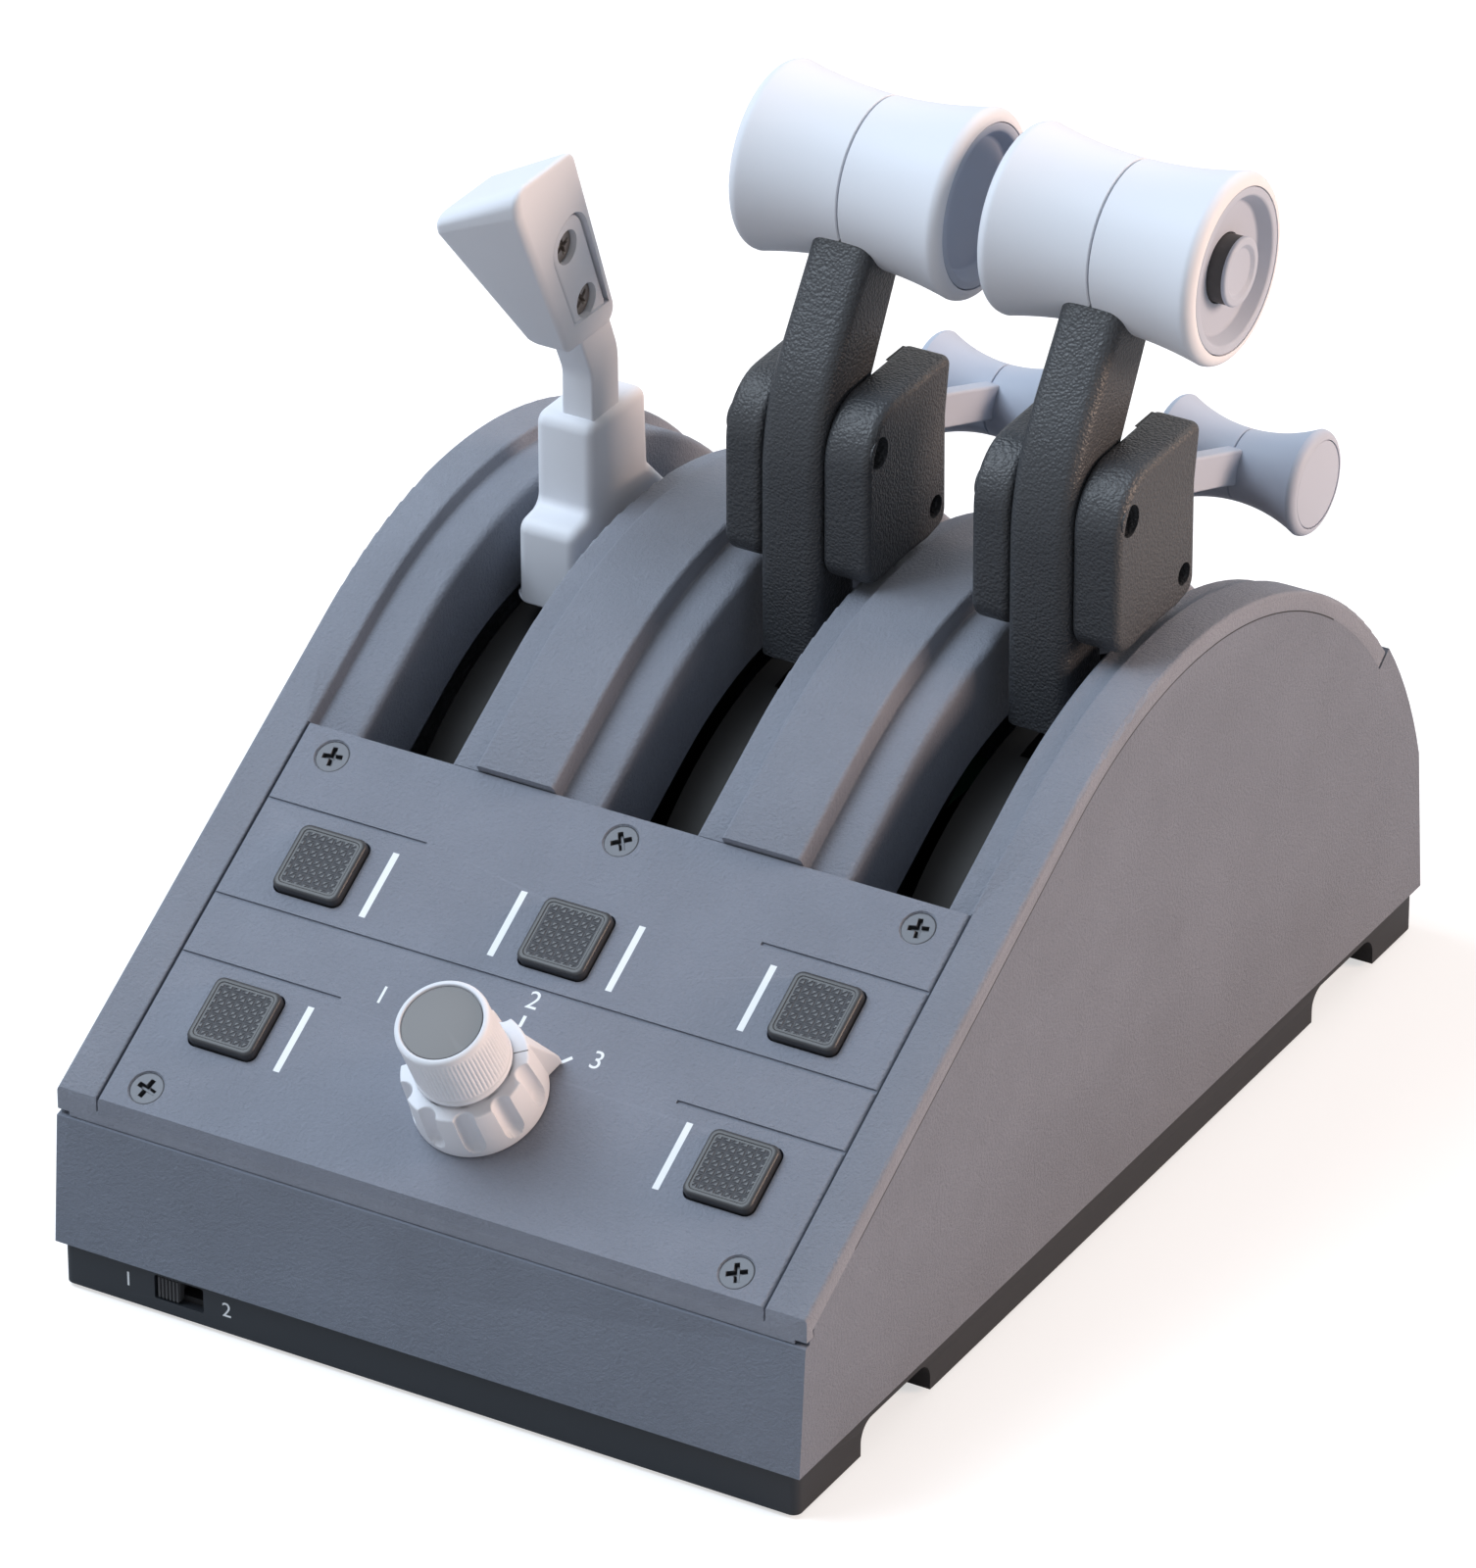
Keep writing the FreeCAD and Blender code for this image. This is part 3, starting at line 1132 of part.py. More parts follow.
def make_thrust_grip(name, across, thumb_side):
    """Two turned halves that meet at the arm, a dished cap in each end and a thumb button."""
    place = (across, PIVOT[1] + S["grip_y"], PIVOT[2] + S["grip_z"])
    half = S["grip_length"] / 2
    waist, end, soft = S["grip_waist"], S["grip_radius"], 2.5
    flare_x = half - soft
    flare = (flare_x * flare_x + (end - waist) * (end - waist)) / (2 * (end - waist))
    seat = half - S["cap_depth"] - 2.5
    solid = S["arm_width"] / 2 + 2.0
    bore = S["grip_bore"]
    lean, reach = S["arm_lean"], S["grip_bore"] + 12.0
    for hand, sign in (("a", -1), ("b", 1)):
        grip = new_body(f"{name}_grip_{hand}", place)
        profile = [Corner(0.0, 0.0), Corner(solid * sign, 0.0), Corner(solid * sign, bore),
                   Corner(seat * sign, bore), Corner(seat * sign, S["cap_radius"] + S["seat_gap"]),
                   Corner(half * sign, S["cap_radius"] + S["seat_gap"]),
                   Corner(half * sign, end - soft, bend=soft, turn_left=sign > 0),
                   Corner(flare_x * sign, end, bend=flare, turn_left=sign < 0),
                   Corner(0.0, waist)]
        revolve(grip, "XZ", [profile])
        # passage for the arm
        gap = S["seat_gap"]
        front = -S["arm_front"] - S["grip_y"]
        top = 6.0 + gap
        offset = ((S["arm_knee"] - S["grip_z"]) * sine(lean) - front * cosine(lean))
        near, far = -offset - gap, -offset + S["arm_depth"] + gap
        along = (sine(lean), cosine(lean))
        over = (cosine(lean), -sine(lean))
        passage = [Corner(over[0] * near + along[0] * top, over[1] * near + along[1] * top),
                   Corner(over[0] * near - along[0] * reach, over[1] * near - along[1] * reach),
                   Corner(over[0] * far - along[0] * reach, over[1] * far - along[1] * reach),
                   Corner(over[0] * far + along[0] * top, over[1] * far + along[1] * top)]
        width = S["arm_width"] / 2 + gap
        extrude(grip, "YZ", [passage], -1.0 if sign > 0 else -width, width + 1.0, cut=True)
    caps = new_body(f"{name}_caps", place)
    for sign in (-1, 1):
        outer, floor_r, deep = S["cap_radius"], S["cap_recess"], S["cap_depth"]
        hole = S["thumb_radius"] + 0.15
        inner_r = hole if sign == thumb_side else as_size(0.0)
        dish = [Corner(seat * sign, inner_r), Corner(seat * sign, outer),
                Corner(half * sign, outer), Corner(half * sign, floor_r + 1.6),
                Corner((half - deep) * sign, floor_r), Corner((half - deep) * sign, inner_r)]
        revolve(caps, "XZ", [dish])
    thumb = new_body(f"{name}_button", place)
    front = half + S["thumb_rise"]
    inner_end = solid + S["thumb_travel"] + 0.5
    radius = S["thumb_radius"]
    plunger = [Corner(inner_end, 0.0), Corner(inner_end, radius + 2.0),
               Corner(seat - 0.3, radius + 2.0), Corner(seat - 0.3, radius),
               Corner(front, radius, 0.6), Corner(front, radius - 1.3), Corner(front - 0.9, 0.0)]
    if thumb_side < 0:
        plunger = [Corner(-corner.across, corner.up, corner.fillet) for corner in plunger]
    revolve(thumb, "XZ", [plunger])


def make_reverse(side, across):
    """One reverse lever, drawn level and hung from its pin with the droop of its rest."""
    place = (across, PIVOT[1] - S["hinge_y"], PIVOT[2] + S["hinge_z"])
    name = f"reverse_{side}"
    bar = new_body(f"{name}_bar", place, -S["reverse_droop"])
    half, deep, length = S["bar_width"] / 2, S["bar_depth"] / 2, S["reverse_length"]
    eye = deep + 0.4
    outline = [Corner(0.0, -deep), Corner(length - 14.0, -deep + 1.0), Corner(length, -4.0, 1.5),
               Corner(length + 4.0, -4.0, 1.5), Corner(length + 4.0, 4.0, 1.5),
               Corner(length - 6.0, deep), Corner(0.0, deep)]
    pad = extrude(bar, "YZ", [outline], -half, S["bar_width"])
    extrude(bar, "YZ", [(0.0, 0.0, eye)], -half, S["bar_width"])
    extrude(bar, "YZ", [(0.0, 0.0, S["pin_radius"] + S["run_fit"])], -half - 1.0,
            S["bar_width"] + 2.0, cut=True)
    # hollow grip in two turned halves, with an end disc in each
    spot = (across, place[1] + length * cosine(S["reverse_droop"]),
            place[2] - length * sine(S["reverse_droop"]))
    small, waist, end, soft = S["small_length"] / 2, S["small_waist"], S["small_radius"], 2.0
    flare_x = small - soft
    flare = (flare_x * flare_x + (end - waist) * (end - waist)) / (2 * (end - waist))
    bore, seat = S["small_bore"], small - 2.0
    grips = new_body(f"{name}_grips", spot, -S["reverse_droop"])
    gap = S["seat_gap"]
    for sign in (-1, 1):
        start = 0.02 * sign
        profile = [Corner(start, 0.0), Corner((half + 1.5) * sign, 0.0),
                   Corner((half + 1.5) * sign, bore), Corner(seat * sign, bore),
                   Corner(seat * sign, S["small_cap"] + gap),
                   Corner(small * sign, S["small_cap"] + gap, bend=soft, turn_left=sign > 0),
                   Corner(flare_x * sign, end, bend=flare, turn_left=sign < 0),
                   Corner(start, waist)]
        revolve(grips, "XZ", [profile])
    passage = box_outline(-waist - 6.0, -4.0 - gap, 4.0 + gap, deep + gap)
    extrude(grips, "YZ", [passage], -half - gap, S["bar_width"] + 2 * gap, cut=True)
    caps = new_body(f"{name}_caps", spot, -S["reverse_droop"])
    for start in (seat, -small):
        extrude(caps, "YZ", [(0.0, 0.0, S["small_cap"])], start, small - seat)


def make_speed_brake():
    across = slot_centres["speed_brake"]
    name = "speed_brake"
    seat_low, seat_high = as_size(-10.0), as_size(8.0)
    make_hub(f"{name}_hub", across, seat_low, seat_high)
    half = S["brake_width"] / 2
    arm = new_body(f"{name}_arm", pivot_at(across))
    foot = S["drum_radius"] + S["seat_gap"]
    front, back = -21.3, 20.0
    block = [Corner(front, root(foot * foot - front * front)), Corner(front, 108.8, 3.0),
             Corner(-13.4, 108.8, 1.0), Corner(-13.4, 131.5, 2.0), Corner(10.3, 131.5, 2.0),
             Corner(10.6, 113.2, 1.0), Corner(16.1, 109.7, 1.0), Corner(back, 105.0, 1.0),
             Corner(back, root(foot * foot - back * back), bend=foot, turn_left=True)]
    block = list(reversed([Corner(c.across, c.up, c.fillet) for c in block]))
    block[0].bend, block[0].turn_left = None, True
    block = fix_foot(block, foot)
    extrude(arm, "YZ", [block], -half, S["brake_width"])
    tongue = box_outline(seat_low, S["drum_radius"] - S["drum_wall"] - 11.5, seat_high,
                         S["drum_radius"] + 4.0)
    extrude(arm, "YZ", [tongue], -5.0, 10.0)
    neck_left, neck_width = -1.9, 8.0
    lean = S["neck_lean"]
    deep = 11.2
    knee, reach = as_size(142.3), 43.0
    front = -10.7
    knee_back = knee + deep * tangent(lean / 2)
    tip = (front - reach * sine(lean), knee + reach * cosine(lean))
    tip_back = (tip[0] + 13.0 * cosine(lean), tip[1] + 13.0 * sine(lean))
    neck = [Corner(front, 130.0), Corner(front + deep, 130.0),
            Corner(front + deep, knee_back, 16.0), Corner(*tip_back, 5.0), Corner(*tip, 5.0),
            Corner(front, knee, 8.0)]
    extrude(arm, "YZ", [neck], neck_left, neck_width)
    handle = new_body(f"{name}_handle", pivot_at(across))
    right = S["handle_side"]
    wide = S["handle_width"]
    outline = handle_outline()
    pad = extrude(handle, "YZ", [outline], right - wide, wide)
    low_left = [Corner(right - wide - 1.0, 140.0), Corner(right - wide + 13.2, 140.0),
                Corner(right - wide + 10.0, 149.0), Corner(right - wide, 187.0),
                Corner(right - wide - 1.0, 187.0)]
    top_cut = [Corner(right - wide - 1.0, 188.8), Corner(right + 1.0, 201.4),
               Corner(right + 1.0, 206.0), Corner(right - wide - 1.0, 206.0)]
    extrude(handle, "XZ", [low_left], -5.0, 60.0, cut=True)
    extrude(handle, "XZ", [top_cut], -5.0, 60.0, cut=True)
    gap = S["seat_gap"]
    wide_neck = [
        Corner(front - gap, 130.0), Corner(front + deep + gap, 130.0),
        Corner(front + deep + gap, knee_back, 16.0),
        Corner(tip_back[0] + gap, tip_back[1] + gap, 5.0), Corner(tip[0] - gap, tip[1] + gap, 5.0),
        Corner(front - gap, knee, 8.0)]
    extrude(handle, "YZ", [wide_neck], neck_left - gap, right - neck_left + 1.0, cut=True)
    spots = [(-20.7, 178.1), (-13.0, 162.0)]
    extrude(arm, "YZ", [(y, z, 4.0) for y, z in spots], neck_left + neck_width - 3.0, 4.0, cut=True)
    screws = new_body(f"{name}_screws", pivot_at(across))
    extrude(screws, "YZ", [(y, z, 3.6) for y, z in spots], neck_left + neck_width - 3.0, 1.8)


def fix_foot(block, foot):
    """Join the two lowest corners of the block by an arc of the drum's radius."""
    for index, corner in enumerate(block):
        following = block[(index + 1) % len(block)]
        if corner.up.value < 95.0 and following.up.value < 95.0:
            corner.bend = as_size(foot)
            corner.turn_left = corner.across.value > following.across.value
    return block


def handle_outline():
    """Side view of the speed brake handle."""
    return [Corner(-22.0, 152.9, 2.5), Corner(-0.6, 152.9, 2.5), Corner(-18.4, 201.2, 4.0),
            Corner(-42.8, 201.2, 2.5), Corner(-41.8, 195.0), Corner(-22.4, 157.5)]


# ---------------------------------------------------------------- build everything

make_tray()
make_feet()
make_tray_screws()
make_ballast()
make_housing()
make_cover()
make_panel()
make_panel_screws()
make_buttons()
make_button_board()
make_switches()
make_selector()
make_axle()
make_brackets()
make_boards()
make_slide_switch()
make_speed_brake()
make_throttle("left", slot_centres["throttle_left"], -1)
make_throttle("right", slot_centres["throttle_right"], 1)
make_reverse("left", slot_centres["throttle_left"])
make_reverse("right", slot_centres["throttle_right"])

doc.recompute()
for item in doc.Objects:
    if "Invalid" in item.State or "Error" in item.State:
        raise RuntimeError(f"{item.Label} failed: {item.State}")
for body in PARTS:
    if body.Shape.isNull() or not body.Shape.isValid():
        raise RuntimeError(f"{body.Label}: its shape is null or not valid")
os.makedirs("parts", exist_ok=True)
for body in PARTS:
    body.Shape.exportStep(os.path.join("parts", f"{body.Label}.step"))
print(f"{len(PARTS)} parts written")
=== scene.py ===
"""Throttle quadrant: visible surfaces, finishes, light and camera for a desk-top flight control.

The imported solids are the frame.  Turned pieces, buttons and markings are new surfaces computed
with numpy; flat-sided mouldings are copies of their solids with softened edges.  Lengths inside
the classes are millimetres; meshes are written in metres.
"""

from __future__ import annotations

import json
import logging
import math
from collections.abc import Callable
from dataclasses import dataclass
from enum import Enum

import bmesh
import bpy
import numpy as np
from mathutils import Matrix, Vector
from mathutils.geometry import delaunay_2d_cdt

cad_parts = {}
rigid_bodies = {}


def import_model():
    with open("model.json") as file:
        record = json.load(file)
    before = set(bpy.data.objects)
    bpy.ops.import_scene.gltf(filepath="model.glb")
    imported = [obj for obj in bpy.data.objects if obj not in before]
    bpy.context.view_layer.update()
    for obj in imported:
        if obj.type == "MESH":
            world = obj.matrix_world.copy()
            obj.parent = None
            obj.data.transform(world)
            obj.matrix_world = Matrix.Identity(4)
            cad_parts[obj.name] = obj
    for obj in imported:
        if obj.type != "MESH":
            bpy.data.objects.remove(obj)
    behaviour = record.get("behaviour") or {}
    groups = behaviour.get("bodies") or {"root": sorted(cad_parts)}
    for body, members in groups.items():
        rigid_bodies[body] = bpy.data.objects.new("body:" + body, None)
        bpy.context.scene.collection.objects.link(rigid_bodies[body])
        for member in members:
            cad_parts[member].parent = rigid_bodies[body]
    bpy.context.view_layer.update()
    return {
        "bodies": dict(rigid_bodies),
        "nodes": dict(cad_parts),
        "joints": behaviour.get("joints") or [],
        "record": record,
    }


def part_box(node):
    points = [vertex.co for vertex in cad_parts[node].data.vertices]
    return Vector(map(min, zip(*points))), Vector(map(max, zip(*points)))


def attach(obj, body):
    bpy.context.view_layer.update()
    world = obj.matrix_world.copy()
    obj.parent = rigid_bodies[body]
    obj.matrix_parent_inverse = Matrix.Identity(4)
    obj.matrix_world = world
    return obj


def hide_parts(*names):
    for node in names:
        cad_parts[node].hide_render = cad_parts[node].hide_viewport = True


log = logging.getLogger("quadrant")
MM = 0.001
DECK_ANGLE = math.radians(30.17)
DECK_RADIUS = 111.8
DECK_RUN = 35.2
SELECTOR_SLOPE = -66.5


# ------------------------------------------------------------------ frames


@dataclass(frozen=True)
class Place:
    """A local frame: an origin in millimetres and three unit directions."""

    origin: np.ndarray
    across: np.ndarray
    forward: np.ndarray
    up: np.ndarray

    def put(self, points: np.ndarray) -> np.ndarray:
        """Return local points in the part's frame: origin plus each coordinate along its axis."""
        axes = np.stack([self.across, self.forward, self.up])
        return self.origin + points @ axes

    def moved(self, x: float, y: float, z: float) -> "Place":
        """Return the same directions at another origin, given in this frame."""
        return Place(self.put(np.array([x, y, z], float)), self.across, self.forward, self.up)

    def turned(self, degrees: float) -> "Place":
        """Return the frame turned about its own up direction."""
        c, s = math.cos(math.radians(degrees)), math.sin(math.radians(degrees))
        return Place(self.origin, c * self.across + s * self.forward,
                     c * self.forward - s * self.across, self.up)


def upright(origin: np.ndarray) -> Place:
    """Return a frame along the part's own axes."""
    return Place(np.asarray(origin, float), *np.eye(3))


def tilted(origin: np.ndarray, angle: float) -> Place:
    """Return a frame turned about X by an angle in radians."""
    c, s = math.cos(angle), math.sin(angle)
    return Place(np.asarray(origin, float), np.array([1.0, 0, 0]), np.array([0, c, s]),
                 np.array([0, -s, c]))


def deck_place(pivot: np.ndarray, x: float, slope: float, rise: float = 0.0) -> Place:
    """Return the frame of a spot on the sloped panel.

    Args:
        pivot: Lever axle in millimetres.
        x: Distance right of the centre plane.
        slope: Distance up the slope from the top row of screws.
        rise: Height above the panel.

    Returns:
        A frame whose up direction is the panel's normal.
    """
    return tilted(pivot, DECK_ANGLE).moved(x, slope - DECK_RUN, DECK_RADIUS + rise)


# ------------------------------------------------------------------ mesh helpers


def new_object(name: str, vertices: np.ndarray, faces: np.ndarray | list, sharp: float = 35.0,
               closed: bool = True) -> bpy.types.Object:
    """Make a smooth-shaded object from vertices in millimetres.

    Args:
        name: Name of the piece.
        vertices: Array of shape (n, 3) in the part's frame.
        faces: Vertex numbers of each face.
        sharp: Edges that turn by more than this many degrees stay sharp.
        closed: Whether faces are turned to point outwards.

    Returns:
        The linked object.
    """
    mesh = bpy.data.meshes.new(name)
    mesh.from_pydata((np.asarray(vertices) * MM).tolist(), [], np.asarray(faces).tolist()
                     if isinstance(faces, np.ndarray) else faces)
    work = bmesh.new()
    work.from_mesh(mesh)
    bmesh.ops.remove_doubles(work, verts=work.verts, dist=2e-6)
    if closed:
        bmesh.ops.recalc_face_normals(work, faces=work.faces)
    work.to_mesh(mesh)
    work.free()
    mesh.shade_smooth()
    mesh.set_sharp_from_angle(angle=math.radians(sharp))
    piece = bpy.data.objects.new(name, mesh)
    bpy.context.scene.collection.objects.link(piece)
    return piece


def grid_quads(rows: int, columns: int, wrap: bool = True) -> np.ndarray:
    """Return the quads of a grid of points whose columns may close on themselves."""
    row = np.arange(rows - 1)[:, None]
    last = columns if wrap else columns - 1
    column = np.arange(last)[None, :]
    following = (column + 1) % columns
    return np.stack([row * columns + column, row * columns + following,
                     (row + 1) * columns + following, (row + 1) * columns + column],
                    axis=-1).reshape(-1, 4)


def end_faces(rings: int, count: int) -> list[list[int]]:
    """Return the faces that close the first and last of these rings of points."""
    last = (rings - 1) * count
    return [list(range(count))[::-1], list(range(last, last + count))]


def rectangle(half_wide: float, half_long: float) -> np.ndarray:
    """Return the corners of a rectangle about the origin, anticlockwise."""
    return np.array([[-1, -1], [1, -1], [1, 1], [-1, 1]]) * [half_wide, half_long]


def soft_profile(corners: list[tuple[float, float, float]], steps: int = 6,
                 closed: bool = False) -> np.ndarray:
    """Return a polyline with each corner replaced by an arc.

    The arc touches both sides at the fillet radius divided by the tangent of half the corner's
    angle, and its points step evenly from one tangent point to the other about its centre.

    Args:
        corners: Each corner's two coordinates and its fillet radius.
        steps: Points on each arc, less one.
        closed: Whether the last corner joins the first.

    Returns:
        Array of shape (n, 2).
    """
    points = np.array([corner[:2] for corner in corners], float)
    line: list[np.ndarray] = []
    count = len(points)
    for index, (_, _, radius) in enumerate(corners):
        edge = not closed and index in (0, count - 1)
        if radius <= 0 or edge:
            line.append(points[index][None])
            continue
        before = points[index - 1] - points[index]
        after = points[(index + 1) % count] - points[index]
        before, after = before / np.linalg.norm(before), after / np.linalg.norm(after)
        half = math.acos(float(np.clip(before @ after, -1, 1))) / 2
        reach = radius / math.tan(half)
        start, end = points[index] + before * reach, points[index] + after * reach
        middle = before + after
        centre = points[index] + middle / np.linalg.norm(middle) * radius / math.sin(half)
        first = math.atan2(*(start - centre)[::-1])
        sweep = math.atan2(*(end - centre)[::-1]) - first
        sweep = (sweep + math.pi) % (2 * math.pi) - math.pi
        angle = first + np.linspace(0, 1, steps + 1) * sweep
        line.append(centre + radius * np.stack([np.cos(angle), np.sin(angle)], axis=1))
    return np.concatenate(line)


def lathe(name: str, profile: np.ndarray, place: Place, segments: int = 128,
          ripple: Callable[[np.ndarray, np.ndarray, np.ndarray], np.ndarray] | None = None,
          sharp: float = 35.0) -> bpy.types.Object:
    """Turn a profile about the frame's across direction.

    Each point is the profile's first coordinate along the axis and its second, plus the ripple,
    as radius at evenly spaced angles.

    Args:
        name: Name of the piece.
        profile: Array of (axial, radius).
        place: Frame whose across direction is the axis.
        segments: Points round the axis.
        ripple: Change of radius as a function of axial place, radius and angle.
        sharp: Edges that turn by more than this many degrees stay sharp.

    Returns:
        The turned object.
    """
    angle = np.linspace(0, 2 * math.pi, segments, endpoint=False)[None, :]
    axial = profile[:, :1] + 0 * angle
    radius = profile[:, 1:] + 0 * angle
    if ripple is not None:
        radius = radius + ripple(axial, radius, angle)
    points = np.stack([axial, radius * np.cos(angle), radius * np.sin(angle)], axis=-1)
    return new_object(name, place.put(points.reshape(-1, 3)),
                      grid_quads(len(profile), segments), sharp)


def axis_up(place: Place) -> Place:
    """Return the frame with its up direction as the lathe's axis."""
    return Place(place.origin, place.up, place.across, place.forward)


def rounded_square(half: float, corner: float, angle: np.ndarray) -> np.ndarray:
    """Return points round a square with circular corners.

    Along each direction, the ray meets either the straight side, at half over the larger of the
    direction's two parts, or the corner's circle, by the quadratic of a ray and a circle.

    Args:
        half: Half the side.
        corner: Corner radius.
        angle: Directions in radians.

    Returns:
        Array of shape (n, 2).
    """
    direction = np.stack([np.cos(angle), np.sin(angle)], axis=-1)
    size = np.abs(direction)
    side = half / size.max(axis=-1)
    inner = half - corner
    along = size.sum(axis=-1) * inner
    offset = 2 * inner * inner - corner * corner
    curved = along + np.sqrt(np.maximum(along * along - offset, 0))
    in_corner = (side[..., None] * size).min(axis=-1) > inner
    return direction * np.where(in_corner, curved, side)[..., None]


def extruded(name: str, outline: np.ndarray, low: float, high: float, place: Place,
             sharp: float = 35.0) -> bpy.types.Object:
    """Carry a closed outline straight up from low to high and close both ends.

    Args:
        name: Name of the piece.
        outline: Array of shape (n, 2) in the frame's across and forward directions.
        low: Lower end.
        high: Upper end.
        place: Frame of the outline.
        sharp: Edges that turn by more than this many degrees stay sharp.

    Returns:
        The closed object.
    """
    count = len(outline)
    rings = [np.column_stack([outline, np.full(count, level)]) for level in (low, high)]
    faces = grid_quads(2, count).tolist() + end_faces(2, count)
    return new_object(name, place.put(np.concatenate(rings)), faces, sharp)


@dataclass(frozen=True)
class Recess:
    """A sunk area in the far face of a prism."""

    outline: np.ndarray
    depth: float


def circle(middle: tuple[float, float], radius: float, count: int = 48) -> np.ndarray:
    """Return evenly spaced points round a circle."""
    angle = np.linspace(0, 2 * math.pi, count, endpoint=False)
    return np.array(middle) + radius * np.stack([np.cos(angle), np.sin(angle)], axis=1)


def anticlockwise(outline: np.ndarray) -> np.ndarray:
    """Return a closed outline that runs anticlockwise."""
    following = np.roll(outline, -1, axis=0)
    area = np.sum(outline[:, 0] * following[:, 1] - following[:, 0] * outline[:, 1])
    return outline if area > 0 else outline[::-1]


def outward(outline: np.ndarray) -> np.ndarray:
    """Return unit normals of an anticlockwise outline.

    Each is the mean direction of the two runs that meet at the point, turned a quarter right.
    """
    run = np.roll(outline, -1, axis=0) - outline
    run = run / np.linalg.norm(run, axis=1)[:, None]
    along = run + np.roll(run, 1, axis=0)
    along = along / np.linalg.norm(along, axis=1)[:, None]
    return np.stack([along[:, 1], -along[:, 0]], axis=1)


def holed_face(outline: np.ndarray, recesses: tuple[Recess, ...], level: float
               ) -> tuple[list[list[float]], list[list[int]]]:
    """Fill an outline but for its recesses, then line each recess.

    Args:
        outline: Outer boundary.
        recesses: Sunk areas inside it.
        level: Place of the face along the prism.

    Returns:
        Vertices as (level, y, z) and faces.
    """
    loops = [outline] + [recess.outline for recess in recesses]
    flat = np.concatenate(loops)
    edges, start = [], 0
    for loop in loops:
        edges += [(start + i, start + (i + 1) % len(loop)) for i in range(len(loop))]
        start += len(loop)
    result = delaunay_2d_cdt([Vector(point) for point in flat], edges, [], 1, 1e-5)
    spots = np.array([tuple(point) for point in result[0]])
    faces = [list(face) for face in result[2]
             if not any(inside(spots[list(face)].mean(axis=0), recess.outline)
                        for recess in recesses)]
    vertices = [[level, y, z] for y, z in spots]
    for recess in recesses:
        count, first = len(recess.outline), len(vertices)
        for depth in (0.0, recess.depth):
            vertices += [[level - depth, y, z] for y, z in recess.outline]
        faces += (grid_quads(2, count) + first).tolist()
        faces.append([first + count + i for i in range(count)])
    return vertices, faces


def inside(point: np.ndarray, outline: np.ndarray) -> bool:
    """Return whether a point lies in an outline, by counting crossings of a level ray."""
    following = np.roll(outline, -1, axis=0)
    spans = (outline[:, 1] > point[1]) != (following[:, 1] > point[1])
    rise = np.where(spans, following[:, 1] - outline[:, 1], 1.0)
    meet = outline[:, 0] + (point[1] - outline[:, 1]) / rise * (following[:, 0] - outline[:, 0])
    return bool(np.sum(spans & (point[0] < meet)) % 2)


def rounded_prism(name: str, outline: np.ndarray, low: float, high: float, radius: float,
                  place: Place, recesses: tuple[Recess, ...] = (),
                  warp: Callable[[np.ndarray], np.ndarray] | None = None,
                  steps: int = 6) -> bpy.types.Object:
    """Carry a side view across, with quarter rounds along both ends.

    At angle t of a round, the ring lies the radius times one less cos t in from the end, and its
    outline is drawn in along its normals by the radius times one less sin t.

    Args:
        name: Name of the piece.
        outline: Closed side view in forward and up directions.
        low: Left end.
        high: Right end.
        radius: Radius of the rounds.
        place: Frame of the prism.
        recesses: Sunk areas of the right end.
        warp: Change of the finished points.
        steps: Steps of each round.

    Returns:
        The closed object.
    """
    outline = anticlockwise(outline)
    normal = outward(outline)
    turn = np.linspace(0, math.pi / 2, steps + 1)
    draw, shift = radius * (1 - np.sin(turn)), radius * (1 - np.cos(turn))
    rings = [(low, radius + 0.35)] + [(low + s, d) for s, d in zip(shift, draw)]
    rings += [(high - s, d) for s, d in zip(shift[::-1], draw[::-1])] + [(high, radius + 0.35)]
    count = len(outline)
    points = [np.column_stack([np.full(count, x), outline - normal * inset])
              for x, inset in rings]
    vertices = np.concatenate(points)
    first_end, last_end = end_faces(len(rings), count)
    faces = grid_quads(len(rings), count).tolist() + [first_end]
    if recesses:
        more, filled = holed_face(points[-1][:, 1:], recesses, high)
        faces += [[len(vertices) + index for index in face] for face in filled]
        vertices = np.concatenate([vertices, np.array(more)])
    else:
        faces.append(last_end)
    if warp is not None:
        vertices = warp(vertices)
    return new_object(name, place.put(vertices), faces, 35.0)


def soften(piece: bpy.types.Object, width: float, segments: int = 3, limit: float = 32.0) -> None:
    """Round the piece's sharp edges with a bevel of this width in millimetres."""
    bevel = piece.modifiers.new("soft_edges", "BEVEL")
    bevel.width = width * MM
    bevel.segments = segments
    bevel.limit_method = "ANGLE"
    bevel.angle_limit = math.radians(limit)
    bevel.use_clamp_overlap = True
    bevel.harden_normals = True


# ------------------------------------------------------------------ finishes


class Grain(Enum):
    """Relief of a moulded surface."""

    FINE = "fine"
    LEATHER = "leather"
    SATIN = "satin"
    TURNED = "turned"
    EMBOSSED = "embossed"


def new_group(name: str, inputs: dict[str, float], outputs: tuple[str, ...]) -> bpy.types.NodeTree:
    """Make an empty shader group with float inputs and outputs."""
    tree = bpy.data.node_groups.new(name, "ShaderNodeTree")
    tree.interface.new_socket("Vector", in_out="INPUT", socket_type="NodeSocketVector")
    for label, value in inputs.items():
        socket = tree.interface.new_socket(label, in_out="INPUT", socket_type="NodeSocketFloat")
        socket.default_value = value
    for label in outputs:
        tree.interface.new_socket(label, in_out="OUTPUT", socket_type="NodeSocketFloat")
    return tree


